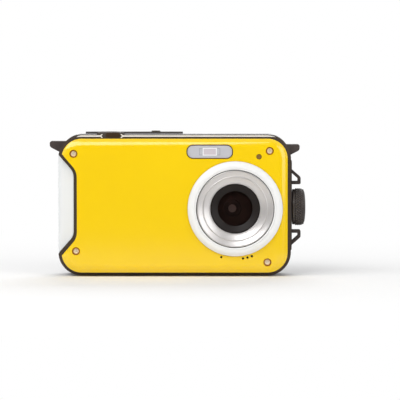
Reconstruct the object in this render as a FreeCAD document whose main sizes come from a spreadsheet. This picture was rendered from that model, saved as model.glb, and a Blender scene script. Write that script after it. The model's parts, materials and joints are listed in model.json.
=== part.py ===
"""Waterproof compact digital camera, in millimetres.

The origin is the mouth of the tripod socket in the underside. X runs to the battery door, Y to the
display and Z up, so the lens looks along minus Y.
"""
import FreeCAD, Part
import math
import os
import Sketcher
from FreeCAD import Placement, Rotation, Vector

# Driving sizes, each written once and free to change

SIZES = {
    # body shells
    "body_width": 98.2,
    "body_height": 59.4,
    "corner_round": 9.9,
    "cover_front": 12.5,
    "seam_front": 7.5,
    "seam_rear": 7.5,
    "cover_rear": 12.5,
    "rim": 1.5,
    "cover_wall": 1.8,
    "side_wall": 2.0,
    "crown_round": 6.0,
    "crown_margin": 2.0,
    "rear_edge_round": 2.6,
    # thumb scoop in the left end
    "scoop_depth": 6.5,
    "scoop_flat_edge": 15.65,
    "scoop_mouth_edge": 8.15,
    "scoop_lift": 0.45,
    "scoop_blend": 7.0,
    # clearances between pieces
    "slip": 0.1,
    "gap": 0.3,
    "shaft_play": 0.05,
    # seals
    "gasket_width": 1.0,
    "gasket_depth": 0.7,
    "oring_depth": 0.9,
    # lens port
    "lens_across": 25.5,
    "lens_lift": -1.2,
    "ring_edge": 7.00002,
    "ring_width": 3.6,
    "ring_height": 3.1,
    "ring_bevel": 1.3,
    "seat_depth": 1.0,
    "hub_step": 1.5,
    "cone_spread": 1.17501,
    "cone_depth": 2.1,
    "bezel_wall": 1.6,
    "glass_ledge": 1.5,
    "glass_thick": 1.2,
    "flange_step": 1.4,
    "seal_thick": 0.6,
    "holder_depth": 2.8,
    "sensor_half": 5.6,
    "sensor_thick": 0.6,
    "barrel_radius": 3.75,
    "module_offset": 1.2,
    "optic_radius": 1.7,
    # flash
    "flash_across": 14.8,
    "flash_edge": 5.4,
    "flash_width": 19.7,
    "flash_height": 6.1,
    "flash_corner": 2.8,
    "flash_ledge": 1.0,
    "flash_pane": 0.6,
    "tube_radius": 0.9,
    "capacitor_radius": 4.0,
    "capacitor_length": 26.0,
    "capacitor_across": -12.0,
    # small holes of the front
    "lamp_across": 35.5,
    "lamp_edge": 7.5,
    "lamp_radius": 1.05,
    "lamp_flange": 1.8,
    "sound_margin": 1.2,
    "sound_hole": 0.5,
    "speaker_radius": 3.6,
    "speaker_lift": 0.7,
    "speaker_thick": 2.8,
    "microphone_radius": 2.0,
    # screws
    "screw_hole": 1.7,
    "screw_head": 1.45,
    "screw_head_thick": 0.9,
    "screw_edge": 0.3,
    "screw_shank": 0.8,
    "screw_length": 7.0,
    "screw_sink": 1.0,
    "screw_top_left_side": 5.1,
    "screw_top_left_edge": 6.3,
    "screw_top_right_side": 7.6,
    "screw_top_right_edge": 5.1,
    "screw_low_left_side": 6.1,
    "screw_low_left_edge": 9.1,
    "screw_low_right_side": 8.5,
    "screw_low_right_edge": 4.4,
    "boss_radius": 2.6,
    "rib_thick": 1.4,
    "rear_screw_side": 5.9,
    "rear_screw_edge": 5.9,
    # tripod socket
    "tripod_hole": 2.6,
    "tripod_thread_depth": 5.5,
    "nut_radius": 4.9,
    "nut_height": 7.0,
    "nut_boss": 6.8,
    # battery, card and boards
    "battery_length": 40.0,
    "battery_height": 31.0,
    "battery_thick": 5.8,
    "battery_end": 42.5,
    "battery_front": 1.2,
    "bay_wall": 0.8,
    "bay_sill": 0.6,
    "card_width": 27.0,
    "card_length": 30.0,
    "card_slot": 24.6,
    "card_slot_thick": 2.15,
    "board_front": 5.7,
    "board_thick": 1.0,
    "board_left": 38.2,
    "board_right": 42.6,
    "board_edge": 5.2,
    "processor_across": -22.0,
    "processor_lift": 6.0,
    "processor_side": 12.0,
    "memory_across": -25.0,
    "memory_lift": -12.0,
    "memory_side": 9.0,
    "supply_across": -10.5,
    "supply_lift": -19.0,
    "supply_side": 5.0,
    "chip_thick": 1.0,
    # display
    "window_left": -15.0,
    "window_right": 42.0,
    "window_edge": 8.2,
    "window_thick": 1.1,
    "window_round": 2.0,
    "window_ledge": 1.6,
    "panel_thick": 2.8,
    # battery door and its hinge
    "opening_depth": 9.8,
    "opening_below": 15.7,
    "opening_above": 16.3,
    "door_recess": 1.9,
    "door_half": 6.6,
    "door_below": 17.3,
    "door_above": 18.7,
    "door_thick": 1.7,
    "door_corner": 2.4,
    "door_swing": 0.6,
    "plug_wall": 1.2,
    "plug_depth": 1.9,
    "hinge_below": 19.0,
    "hinge_across": 47.9,
    "pin_radius": 0.5,
    "knuckle_radius": 1.35,
    "knuckle_half": 4.0,
    # lock knob
    "knob_below": 1.0,
    "knob_radius": 7.85,
    "knob_thick": 5.6,
    "knob_collar": 1.3,
    "knob_bevel": 0.75,
    "knob_crown": 2.1,
    "knob_dome": 3.0,
    "knob_flutes": 24,
    "flute_radius": 0.42,
    "knob_shaft": 1.8,
    "dog_length": 13.0,
    "dog_width": 3.4,
    "dog_thick": 1.6,
    "guard_reach": 3.8,
    "guard_bar": 1.2,
    "guard_bend": 3.0,
    "guard_near": 9.7,
    "guard_far": 15.9,
    # top
    "trim_left": 41.6,
    "trim_right": 42.8,
    "trim_width": 8.0,
    "trim_depth": 1.1,
    "trim_proud": 0.2,
    "panel_left": 37.8,
    "panel_right": 3.4,
    "panel_front": 1.2,
    "panel_rear": 7.0,
    "panel_proud": 1.0,
    "shutter_across": -27.1,
    "shutter_length": 9.4,
    "shutter_width": 8.0,
    "shutter_height": 1.3,
    "shutter_back": -2.5,
    "shutter_travel": 0.8,
    "stem_radius": 1.2,
    "power_across": -8.0,
    "power_back": 4.1,
    "power_radius": 1.9,
    "power_proud": 0.5,
    # strap lugs
    "lug_reach": 3.75,
    "lug_half": 3.5,
    "lug_hole": 0.9,
    "left_lug_top_edge": 2.85,
    "left_lug_bottom_edge": 7.5,
    "right_lug_top": 25.5,
    "right_lug_bottom": 20.8,
    # rear keys
    "key_column": -29.8,
    "pad_rise": 13.9887,
    "key_spacing": 6.2,
    "arrow_radius": 2.1,
    "ok_radius": 2.6,
    "key_radius": 2.7,
    "key_proud": 0.8,
    "key_bevel": 0.3,
    "key_flange": 0.6,
    "key_flange_thick": 0.6,
    "zoom_edge": 8.4051,
    "zoom_half": 4.0,
    "mode_rise": 1.9899,
    "mode_half": 4.6,
    "menu_edge": 13.0086,
    "mat_thick": 0.8,
    "key_switch_radius": 1.9,
}

doc = FreeCAD.newDocument("camera")
sheet = doc.addObject("Spreadsheet::Sheet", "Sizes")
for row, (name, value) in enumerate(SIZES.items(), start=1):
    sheet.set("A%d" % row, name)
    sheet.set("B%d" % row, str(value))
    sheet.setAlias("B%d" % row, name)
doc.recompute()


class Size:
    """A length as a formula on the sheet, with its present value."""

    def __init__(self, formula, number):
        self.formula = formula
        self.number = number

    def joined(self, sign, other, number):
        return Size("(%s %s %s)" % (self.formula, sign, formula_of(other)), number)

    def __add__(self, other):
        return self.joined("+", other, self.number + number_of(other))

    def __sub__(self, other):
        return self.joined("-", other, self.number - number_of(other))

    def __mul__(self, other):
        return self.joined("*", other, self.number * number_of(other))

    def __truediv__(self, other):
        return self.joined("/", other, self.number / number_of(other))

    def __radd__(self, other):
        return Size("(%s + %s)" % (formula_of(other), self.formula), number_of(other) + self.number)

    def __rsub__(self, other):
        return Size("(%s - %s)" % (formula_of(other), self.formula), number_of(other) - self.number)

    __rmul__ = __mul__

    def __neg__(self):
        return self * -1


def number_of(value):
    return value.number if isinstance(value, Size) else value


def formula_of(value):
    return value.formula if isinstance(value, Size) else "(%s)" % value


class Sheet:
    """Reads a size by its name."""

    def __getattr__(self, name):
        return Size("Sizes." + name, float(sheet.get(name)))


s = Sheet()
centre = s.body_height / 2
half_width = s.body_width / 2
half_height = s.body_height / 2

# Helpers that draw bound shapes

NODES = []


def bind(owner, field, value):
    """Gives a field its number and ties it to the sheet."""
    if isinstance(value, Size):
        owner.setExpression(field, value.formula)
    else:
        owner.setExpression(field, str(float(value)))


def node(shape, label):
    """Makes a shape one of the camera's pieces."""
    shape.Label = label
    NODES.append(shape)
    return shape


def at(owner, place):
    for letter, value in zip("xyz", place):
        bind(owner, "Placement.Base." + letter, value)
    return owner


def box(name, across, depth, up):
    """A block from its low and high values along X, Y and Z."""
    block = doc.addObject("Part::Box", name)
    bind(block, "Length", across[1] - across[0])
    bind(block, "Width", depth[1] - depth[0])
    bind(block, "Height", up[1] - up[0])
    return at(block, (across[0], depth[0], up[0]))


TURNS = {
    "X": Rotation(Vector(0, 1, 0), 90),
    "Y": Rotation(Vector(1, 0, 0), -90),
    "Z": Rotation(),
}


def rod(name, axis, place, radius, length):
    """A cylinder that grows from place along an axis."""
    cylinder = doc.addObject("Part::Cylinder", name)
    bind(cylinder, "Radius", radius)
    bind(cylinder, "Height", length)
    cylinder.Placement = Placement(Vector(), TURNS[axis])
    return at(cylinder, place)


def unite(name, pieces):
    joined = doc.addObject("Part::MultiFuse", name)
    joined.Shapes = pieces
    return joined


def cut(name, base, tools):
    """Takes one or more tools out of a base."""
    taken = doc.addObject("Part::Cut", name)
    taken.Base = base
    taken.Tool = tools[0] if len(tools) == 1 else unite(name + "_tools", tools)
    return taken


def overlap(name, first, second):
    shared = doc.addObject("Part::Common", name)
    shared.Base = first
    shared.Tool = second
    return shared


def group(name, pieces):
    """Separate solids that share one node."""
    joined = doc.addObject("Part::Compound", name)
    joined.Links = pieces
    return joined


def soften(name, base, radius, chosen):
    """Rounds the edges of a base that the test picks."""
    doc.recompute()
    rounded = doc.addObject("Part::Fillet", name)
    rounded.Base = base
    radius = number_of(radius)
    edges = base.Shape.Edges
    rounded.Edges = [(i + 1, radius, radius) for i in range(len(edges)) if chosen(edges[i])]
    return rounded


def flat_at(axis, level):
    """Picks the edges that lie in a plane across an axis."""
    level = number_of(level)
    index = "XYZ".index(axis)

    def chosen(edge):
        low = (edge.BoundBox.XMin, edge.BoundBox.YMin, edge.BoundBox.ZMin)[index]
        high = (edge.BoundBox.XMax, edge.BoundBox.YMax, edge.BoundBox.ZMax)[index]
        return abs(low - level) < 0.01 and abs(high - level) < 0.01

    return chosen


def toward(start, end):
    length = math.hypot(end[0] - start[0], end[1] - start[1])
    return ((end[0] - start[0]) / length, (end[1] - start[1]) / length)


def corner_arc(before, corner, after, radius):
    """The ends and centre of the round in a corner."""
    back = toward(corner, before)
    ahead = toward(corner, after)
    angle = math.acos(back[0] * ahead[0] + back[1] * ahead[1])
    run = radius / math.tan(angle / 2)
    start = (corner[0] + back[0] * run, corner[1] + back[1] * run)
    end = (corner[0] + ahead[0] * run, corner[1] + ahead[1] * run)
    inward = toward(corner, ((start[0] + end[0]) / 2, (start[1] + end[1]) / 2))
    reach = radius / math.sin(angle / 2)
    return start, end, (corner[0] + inward[0] * reach, corner[1] + inward[1] * reach)


def place_point(sketch, geometry, end, across, up):
    for kind, value in (("DistanceX", across), ("DistanceY", up)):
        rule = Sketcher.Constraint(kind, -1, 1, geometry, end, float(number_of(value)))
        index = sketch.addConstraint(rule)
        if isinstance(value, Size):
            sketch.setExpression("Constraints[%d]" % index, value.formula)


def size_radius(sketch, geometry, radius):
    index = sketch.addConstraint(Sketcher.Constraint("Radius", geometry, float(number_of(radius))))
    if isinstance(radius, Size):
        sketch.setExpression("Constraints[%d]" % index, radius.formula)


def outline(sketch, corners):
    """A closed outline through corners, each (across, up) or (across, up, round)."""
    points = [(number_of(corner[0]), number_of(corner[1])) for corner in corners]
    count = len(corners)
    ends = []
    for i, corner in enumerate(corners):
        if len(corner) == 3:
            arc = corner_arc(points[i - 1], points[i], points[(i + 1) % count], number_of(corner[2]))
            ends.append(arc)
        else:
            ends.append((points[i], points[i], None))
    lines = []
    for i in range(count):
        start = Vector(*ends[i][1], 0)
        end = Vector(*ends[(i + 1) % count][0], 0)
        lines.append(sketch.addGeometry(Part.LineSegment(start, end)))
    for i, corner in enumerate(corners):
        if len(corner) == 2:
            sketch.addConstraint(Sketcher.Constraint("Coincident", lines[i - 1], 2, lines[i], 1))
            place_point(sketch, lines[i], 1, corner[0], corner[1])
            continue
        start, end, middle = ends[i]
        first = math.atan2(start[1] - middle[1], start[0] - middle[0])
        last = math.atan2(end[1] - middle[1], end[0] - middle[0])
        turn = ((start[0] - middle[0]) * (end[1] - middle[1])
                - (start[1] - middle[1]) * (end[0] - middle[0]))
        circle = Part.Circle(Vector(*middle, 0), Vector(0, 0, 1), number_of(corner[2]))
        span = (first, last) if turn > 0 else (last, first)
        arc = sketch.addGeometry(Part.ArcOfCircle(circle, *span))
        near, far = (1, 2) if turn > 0 else (2, 1)
        sketch.addConstraint(Sketcher.Constraint("Tangent", lines[i - 1], 2, arc, near))
        sketch.addConstraint(Sketcher.Constraint("Tangent", lines[i], 1, arc, far))
        apex = sketch.addGeometry(Part.Point(Vector(*points[i], 0)), True)
        sketch.addConstraint(Sketcher.Constraint("PointOnObject", apex, 1, lines[i - 1]))
        sketch.addConstraint(Sketcher.Constraint("PointOnObject", apex, 1, lines[i]))
        size_radius(sketch, arc, corner[2])
        place_point(sketch, apex, 1, corner[0], corner[1])


def oblong(left, right, low, high, corner):
    """Corners of a rectangle with equal rounds."""
    return [(left, low, corner), (right, low, corner), (right, high, corner), (left, high, corner)]


VIEWS = {
    "front": (Rotation(Vector(1, 0, 0), 90), Vector(0, 1, 0), "y"),
    "side": (Rotation(Vector(1, 1, 1), 120), Vector(1, 0, 0), "x"),
    "top": (Rotation(), Vector(0, 0, 1), "z"),
}


def drawn(name, view, corners, level=0.0):
    """A free sketch seen from the front, side or top."""
    sketch = doc.addObject("Sketcher::SketchObject", name)
    sketch.Placement = Placement(Vector(), VIEWS[view][0])
    outline(sketch, corners)
    bind(sketch, "Placement.Base." + VIEWS[view][2], level)
    return sketch


def extrude(name, view, profile, length):
    solid = doc.addObject("Part::Extrusion", name)
    solid.Base = profile
    solid.DirMode = "Custom"
    solid.Dir = VIEWS[view][1]
    bind(solid, "LengthFwd", length)
    solid.Solid = True
    return solid


def prism(name, view, corners, span):
    """An outline drawn in one view and pushed through a span of depth."""
    profile = drawn(name + "_outline", view, corners, span[0])
    return extrude(name, view, profile, span[1] - span[0])


def plane_of(body, role):
    return [part for part in body.Origin.OriginFeatures if part.Role == role][0]


def sketch_in(body, name, role, corners, level=0.0):
    sketch = body.newObject("Sketcher::SketchObject", name)
    sketch.AttachmentSupport = [(plane_of(body, role), "")]
    sketch.MapMode = "FlatFace"
    outline(sketch, corners)
    bind(sketch, "AttachmentOffset.Base.z", level)
    return sketch


def turned(name, axis, place, profile):
    """A lathe-turned body from (radius, along) points about an axis through place."""
    body = doc.addObject("PartDesign::Body", name)
    role = {"X": "XY_Plane", "Y": "XY_Plane", "Z": "XZ_Plane"}[axis]
    corners = [(p[1], p[0]) + tuple(p[2:]) if axis == "X" else tuple(p) for p in profile]
    sketch = sketch_in(body, name + "_profile", role, corners)
    spin = body.newObject("PartDesign::Revolution", name + "_turn")
    spin.Profile = sketch
    spin.ReferenceAxis = (plane_of(body, axis + "_Axis"), [""])
    spin.Angle = 360.0
    body.Tip = spin
    return at(body, place)


def padded(name, view, corners, span):
    """A body padded from an outline through a span of depth."""
    role = {"front": "XZ_Plane", "side": "YZ_Plane", "top": "XY_Plane"}[view]
    body = doc.addObject("PartDesign::Body", name)
    level = -span[1] if view == "front" else span[0]
    sketch = sketch_in(body, name + "_outline", role, corners, level)
    pad = body.newObject("PartDesign::Pad", name + "_pad")
    pad.Profile = sketch
    bind(pad, "Length", span[1] - span[0])
    body.Tip = pad
    return body


def fluted(body, name, across, up, radius, start, length, count):
    """Cuts a round groove along X into a turned body and repeats it about the axis."""
    sketch = body.newObject("Sketcher::SketchObject", name + "_circle")
    sketch.AttachmentSupport = [(plane_of(body, "YZ_Plane"), "")]
    sketch.MapMode = "FlatFace"
    centre_point = Vector(number_of(across), number_of(up), 0)
    groove = sketch.addGeometry(Part.Circle(centre_point, Vector(0, 0, 1), number_of(radius)))
    place_point(sketch, groove, 3, across, up)
    size_radius(sketch, groove, radius)
    bind(sketch, "AttachmentOffset.Base.z", start)
    pocket = body.newObject("PartDesign::Pocket", name + "_cut")
    pocket.Profile = sketch
    pocket.Reversed = True
    bind(pocket, "Length", length)
    body.Tip = pocket
    doc.recompute()
    pattern = body.newObject("PartDesign::PolarPattern", name)
    pattern.Originals = [pocket]
    pattern.Axis = (plane_of(body, "X_Axis"), [""])
    pattern.Angle = 360.0
    bind(pattern, "Occurrences", count)
    body.Tip = pattern
    return body


def rounded(body, name, radius, chosen):
    """Rounds the picked edges of a body."""
    doc.recompute()
    tip = body.Tip
    names = ["Edge%d" % (i + 1) for i, edge in enumerate(tip.Shape.Edges) if chosen(edge)]
    fillet = body.newObject("PartDesign::Fillet", name)
    fillet.Base = (tip, names)
    bind(fillet, "Radius", radius)
    body.Tip = fillet
    return body

# Common outlines of the shells, drawn once and grown or shrunk for each piece

scoop_middle = centre + s.scoop_lift
plate_half_width = half_width - s.rim
plate_half_height = half_height - s.rim
scoop_flat_half = half_height - s.scoop_flat_edge
scoop_mouth_half = half_height - s.scoop_mouth_edge
far_left = -half_width - s.gap * 20
scoop_face = s.scoop_depth - plate_half_width
mouth_slope = (scoop_mouth_half - scoop_flat_half) / s.scoop_depth
mouth_reach = scoop_flat_half + mouth_slope * (scoop_face - far_left)


def shell_corners(grow):
    """The rounded rectangle of the plate, grown all round."""
    wide = plate_half_width + grow
    tall = plate_half_height + grow
    return oblong(-wide, wide, centre - tall, centre + tall, s.corner_round - s.rim + grow)


scoop_sketch = drawn("scoop_outline", "front", [
    (far_left, scoop_middle - mouth_reach),
    (scoop_face, scoop_middle - scoop_flat_half, s.scoop_blend),
    (scoop_face, scoop_middle + scoop_flat_half, s.scoop_blend),
    (far_left, scoop_middle + mouth_reach),
])


def scoop_prism(name, grow, depth):
    """The scoop as a tool, grown or shrunk by an even margin, or as drawn."""
    profile = scoop_sketch
    if grow is not None:
        profile = doc.addObject("Part::Offset2D", name + "_margin")
        profile.Source = scoop_sketch
        profile.Join = 0
        bind(profile, "Value", grow)
    tool = extrude(name, "front", profile, depth[1] - depth[0])
    bind(tool, "Placement.Base.y", depth[0])
    return tool


def shell_prism(name, grow, depth):
    return prism(name, "front", shell_corners(grow), depth)


front_face = -s.cover_front
front_inside = front_face + s.cover_wall
front_seam = -s.seam_front
rear_face = s.cover_rear
rear_inside = rear_face - s.cover_wall
rear_seam = s.seam_rear
lens_up = centre + s.lens_lift
ring_radius = lens_up - s.rim - s.ring_edge
ring_bore = ring_radius - s.ring_width
hub_radius = ring_bore - s.hub_step
flange_radius = hub_radius - s.flange_step
cone_mouth = (hub_radius + s.barrel_radius) / 2 + s.cone_spread
bezel_radius = cone_mouth - s.slip
glass_radius = bezel_radius - s.bezel_wall
lip_radius = glass_radius - s.glass_ledge
sound_circle = ring_radius + s.sound_margin
flash_up = centre + plate_half_height - s.flash_edge

# Screws that hold the covers to the bosses of the housing

front_screws_at = []
for end, way_up in (("top", 1), ("low", -1)):
    for side, way_across in (("left", -1), ("right", 1)):
        from_side = getattr(s, "screw_%s_%s_side" % (end, side))
        from_edge = getattr(s, "screw_%s_%s_edge" % (end, side))
        front_screws_at.append(((plate_half_width - from_side) * way_across,
                                centre + (plate_half_height - from_edge) * way_up))
rear_screws_at = []
for way_up in (1, -1):
    for way_across in (-1, 1):
        rear_screws_at.append(((half_width - s.rear_screw_side) * way_across,
                               centre + (half_height - s.rear_screw_edge) * way_up))


def screws(name, places, head_face, way):
    """Pan-head screws that point along Y, one for each place."""
    pieces = []
    for i, (across, up) in enumerate(places):
        place = (across, head_face, up)
        profile = [
            (0.0, 0.0),
            (s.screw_head - s.screw_edge, 0.0),
            (s.screw_head, s.screw_edge * way),
            (s.screw_head, s.screw_head_thick * way),
            (s.screw_shank, s.screw_head_thick * way),
            (s.screw_shank, s.screw_length * way),
            (0.0, s.screw_length * way),
        ]
        pieces.append(turned("%s_%d" % (name, i + 1), "Y", place, profile))
    return node(group(name, pieces), name)


def screw_wells(name, places, head_face, way):
    """Counterbores for the heads and holes for the shanks."""
    tools = []
    for i, (across, up) in enumerate(places):
        mouth = head_face - s.screw_sink * way * 2
        seat = head_face + s.screw_head_thick * way
        profile = [
            (0.0, mouth - head_face),
            (s.screw_hole, mouth - head_face),
            (s.screw_hole, seat - head_face),
            (s.screw_shank + s.slip, seat - head_face),
            (s.screw_shank + s.slip, (s.screw_length + s.gap) * way),
            (0.0, (s.screw_length + s.gap) * way),
        ]
        tools.append(turned("%s_%d" % (name, i + 1), "Y", (across, head_face, up), profile))
    return tools


def bosses(name, places, radius, depth):
    """Round posts along Y, one for each place."""
    length = depth[1] - depth[0]
    pieces = []
    for i, (across, up) in enumerate(places):
        pieces.append(rod("%s_%d" % (name, i + 1), "Y", (across, depth[0], up), radius, length))
    return pieces


front_head = front_face + s.screw_sink
rear_head = rear_face - s.screw_sink

# Front cover with its crowned face

crown_block = shell_prism("crown_block", s.crown_margin, (front_face, s.gap))
crown = soften("crown", crown_block, s.crown_round, flat_at("Y", front_face))
cover_slab = shell_prism("cover_slab", 0.0, (front_face - s.gap, front_seam))
cover_scooped = cut("cover_scooped", cover_slab, [
    scoop_prism("cover_scoop", None, (front_face - s.gap * 2, front_seam + s.gap)),
])
cover_crowned = overlap("cover_crowned", cover_scooped, crown)
cavity_block = shell_prism("cover_cavity_block", -s.side_wall, (front_inside, front_seam + s.gap))
cover_cavity = cut("cover_cavity", cavity_block, [
    scoop_prism("cover_cavity_scoop", s.side_wall, (front_inside - s.gap, front_seam + s.gap * 2)),
])
cover_hollow = cut("cover_hollow", cover_crowned, [cover_cavity])
cover_bosses = bosses("cover_boss", front_screws_at, s.boss_radius, (front_inside - s.gap, front_seam))
cover_shell = unite("cover_shell", [cover_hollow] + cover_bosses)

lens_seat = turned("lens_seat", "Y", (s.lens_across, 0.0, lens_up), [
    (0.0, front_face - s.gap),
    (ring_radius + s.slip, front_face - s.gap),
    (ring_radius + s.slip, front_face + s.seat_depth),
    (hub_radius + s.slip, front_face + s.seat_depth),
    (hub_radius + s.slip, front_inside + s.gap),
    (0.0, front_inside + s.gap),
])
flash_low = flash_up - s.flash_height / 2
flash_high = flash_up + s.flash_height / 2
flash_left = s.flash_across - s.flash_width / 2
flash_right = s.flash_across + s.flash_width / 2
flash_floor = front_face + s.flash_ledge
flash_seat = prism("flash_seat", "front",
                   oblong(flash_left, flash_right, flash_low, flash_high, s.flash_corner),
                   (front_face - s.gap, flash_floor))
flash_hole = prism("flash_hole", "front",
                   oblong(flash_left + s.flash_ledge, flash_right - s.flash_ledge,
                          flash_low + s.flash_ledge, flash_high - s.flash_ledge,
                          s.flash_corner - s.flash_ledge),
                   (flash_floor - s.gap, front_inside + s.gap))
lamp_up = centre + plate_half_height - s.lamp_edge
lamp_hole = rod("lamp_hole", "Y", (s.lamp_across, front_face - s.gap, lamp_up), s.lamp_radius + s.slip,
                s.cover_wall + s.gap * 2)
sound_tools = []
SOUND_TURNS = (-16.0, 9.0, 14.2, 19.4)
for i, turn in enumerate(SOUND_TURNS):
    across = s.lens_across + sound_circle * math.sin(math.radians(turn))
    up = lens_up - sound_circle * math.cos(math.radians(turn))
    sound_tools.append(rod("sound_hole_%d" % (i + 1), "Y", (across, front_face - s.gap, up),
                           s.sound_hole, s.cover_wall + s.gap * 2))
front_cover = cut("cover_opened", cover_shell,
                  [lens_seat, flash_seat, flash_hole, lamp_hole] + sound_tools
                  + screw_wells("front_well", front_screws_at, front_head, 1))
node(front_cover, "front_cover")
screws("front_screws", front_screws_at, front_head, 1)

# Housing, the frame between the covers

inner_top = centre + plate_half_height - s.side_wall
inner_right = plate_half_width - s.side_wall
seam_depth = (front_seam, rear_seam)
seam_through = (front_seam - s.gap, rear_seam + s.gap)


def band(name, depth):
    """A seal that follows the seam inside the rim."""
    outer_in = (s.side_wall - s.gasket_width) / 2
    inner_in = outer_in + s.gasket_width
    past = (depth[0] - s.gap, depth[1] + s.gap)
    outer = cut(name + "_outer", shell_prism(name + "_block", -outer_in, depth),
                [scoop_prism(name + "_scoop", outer_in, past)])
    inner = cut(name + "_inner", shell_prism(name + "_core", -inner_in, past),
                [scoop_prism(name + "_core_scoop", inner_in, past)])
    return node(cut(name + "_band", outer, [inner]), name)


front_gasket = band("front_gasket", (front_seam, front_seam + s.gasket_depth))
rear_gasket = band("rear_gasket", (rear_seam - s.gasket_depth, rear_seam))

housing_slab = cut("housing_slab", shell_prism("housing_block", s.rim, seam_depth),
                   [scoop_prism("housing_scoop", -s.rim, seam_through)])
housing_cavity = cut("housing_cavity", shell_prism("housing_core", -s.side_wall, seam_through),
                     [scoop_prism("housing_core_scoop", s.side_wall,
                                  (front_seam - s.gap * 2, rear_seam + s.gap * 2))])
housing_ring = cut("housing_ring", housing_slab, [housing_cavity])
housing_bosses = bosses("front_boss", front_screws_at, s.boss_radius, (front_seam, 0.0))
rear_bosses = bosses("rear_boss", rear_screws_at, s.boss_radius, (s.slip, rear_seam))
socket_boss = rod("socket_boss", "Z", (0.0, 0.0, 0.0), s.nut_boss, s.nut_height + s.bay_wall * 2)
post_set = unite("housing_post_set", housing_bosses + rear_bosses + [socket_boss])
within = overlap("housing_posts", post_set, shell_prism("housing_bound", s.rim, seam_depth))
ribs = []
for i, (across, up) in enumerate(front_screws_at):
    wall = inner_top + s.gap if up.number > centre.number else centre * 2 - inner_top - s.gap
    span = (up, wall) if up.number > centre.number else (wall, up)
    ribs.append(box("boss_rib_%d" % (i + 1), (across - s.rib_thick / 2, across + s.rib_thick / 2),
                    (front_seam, 0.0), span))
housing_solid = unite("housing_solid", [housing_ring, within] + ribs)

opening_bottom = centre - s.opening_below
opening_top = centre + s.opening_above
door_bottom = centre - s.door_below
door_top = centre + s.door_above
hinge_lift = centre - s.hinge_below
door_floor = half_width - s.door_recess
door_face = door_floor + s.seal_thick
door_outside = door_face + s.door_thick
opening_half = s.opening_depth / 2
knuckle_clear = s.knuckle_radius + s.gap + s.slip
arm_clear = s.knuckle_half + s.gap / 2
opening_tool = box("door_opening", (inner_right - s.gap, door_floor + s.gap),
                   (-opening_half, opening_half), (opening_bottom, opening_top))
recess_tool = box("door_recess_tool", (door_floor, half_width + s.gap),
                  (-s.door_half - s.slip, s.door_half + s.slip),
                  (door_bottom - s.door_swing, door_top + s.slip))
hinge_tool = rod("hinge_clearance", "Y", (s.hinge_across, -arm_clear, hinge_lift), knuckle_clear,
                 arm_clear * 2)
arm_tool = box("arm_clearance", (s.hinge_across, half_width + s.gap), (-arm_clear, arm_clear),
               (hinge_lift - knuckle_clear - s.slip, door_bottom))
pin_half = s.door_half - s.gap
pin_hole = rod("pin_hole", "Y", (s.hinge_across, -pin_half - s.slip, hinge_lift),
               s.pin_radius + s.shaft_play, pin_half * 2 + s.slip * 2)
nut_hole = rod("nut_hole", "Z", (0.0, 0.0, -s.gap), s.nut_radius + s.shaft_play, s.nut_height + s.gap)

trim_floor = s.body_height - s.trim_depth
trim_rear = front_seam + s.trim_width
trim_recess = box("trim_recess", (-s.trim_left, s.trim_right), (front_seam - s.gap, trim_rear),
                  (trim_floor, s.body_height + s.gap))
collar_left = s.shutter_across - s.shutter_length / 2 - s.rim / 2
collar_right = s.shutter_across + s.shutter_length / 2 + s.rim / 2
shutter_front = s.shutter_back - s.shutter_width / 2
shutter_rear = s.shutter_back + s.shutter_width / 2
ring_seat_radius = s.stem_radius + s.bay_wall
button_holes = []
for name, across, back in (("shutter", s.shutter_across, s.shutter_back),
                           ("power", s.power_across, s.power_back)):
    button_holes.append(rod(name + "_stem_hole", "Z", (across, back, inner_top - s.gap),
                            s.stem_radius + s.shaft_play, s.body_height - inner_top + s.gap * 2))
    button_holes.append(rod(name + "_ring_seat", "Z", (across, back, trim_floor - s.seal_thick),
                            ring_seat_radius, s.seal_thick + s.trim_depth + s.gap))
power_well = rod("power_well", "Z", (s.power_across, s.power_back, trim_floor),
                 s.power_radius + s.slip, s.trim_depth + s.gap)
shutter_well = prism("shutter_well", "top",
                     oblong(s.shutter_across - s.shutter_length / 2 - s.slip,
                            s.shutter_across + s.shutter_length / 2 + s.slip,
                            shutter_front - s.slip, shutter_rear + s.slip, s.shutter_width / 2 - s.gap),
                     (trim_floor, s.body_height + s.gap))
button_holes.append(power_well)
button_holes.append(shutter_well)

housing = cut("housing_cut", housing_solid,
              [front_gasket, rear_gasket, opening_tool, recess_tool, hinge_tool, arm_tool, pin_hole,
               nut_hole, trim_recess] + button_holes
              + screw_wells("housing_front_well", front_screws_at, front_head, 1)
              + screw_wells("housing_rear_well", rear_screws_at, rear_head, -1))
node(housing, "mid_housing")

# Rear cover with its rounded edge, display opening and key holes

rear_slab = shell_prism("rear_slab", s.rim, (rear_seam, rear_face))
rear_round = soften("rear_round", rear_slab, s.rear_edge_round, flat_at("Y", rear_face))
rear_core_block = shell_prism("rear_core_block", -s.side_wall, (rear_seam - s.gap, rear_inside))
rear_core = cut("rear_core", rear_core_block,
                [scoop_prism("rear_core_scoop", s.side_wall,
                             (rear_seam - s.gap * 2, rear_inside + s.gap))])
rear_hollow = cut("rear_hollow", rear_round, [rear_core])
rear_posts = bosses("rear_cover_boss", rear_screws_at, s.boss_radius, (rear_seam, rear_inside + s.gap))
rear_shell = unite("rear_shell", [rear_hollow] + rear_posts)
window_low = s.window_edge
window_high = s.body_height - s.window_edge
window_floor = rear_face - s.gap / 2 - s.window_thick
window_seat = prism("window_seat", "front",
                    oblong(s.window_left, s.window_right, window_low, window_high, s.window_round),
                    (window_floor, rear_face + s.gap))
view_hole = prism("view_hole", "front",
                  oblong(s.window_left + s.window_ledge, s.window_right - s.window_ledge,
                         window_low + s.window_ledge, window_high - s.window_ledge, s.window_round / 2),
                  (rear_inside - s.gap, window_floor + s.gap))

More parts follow.
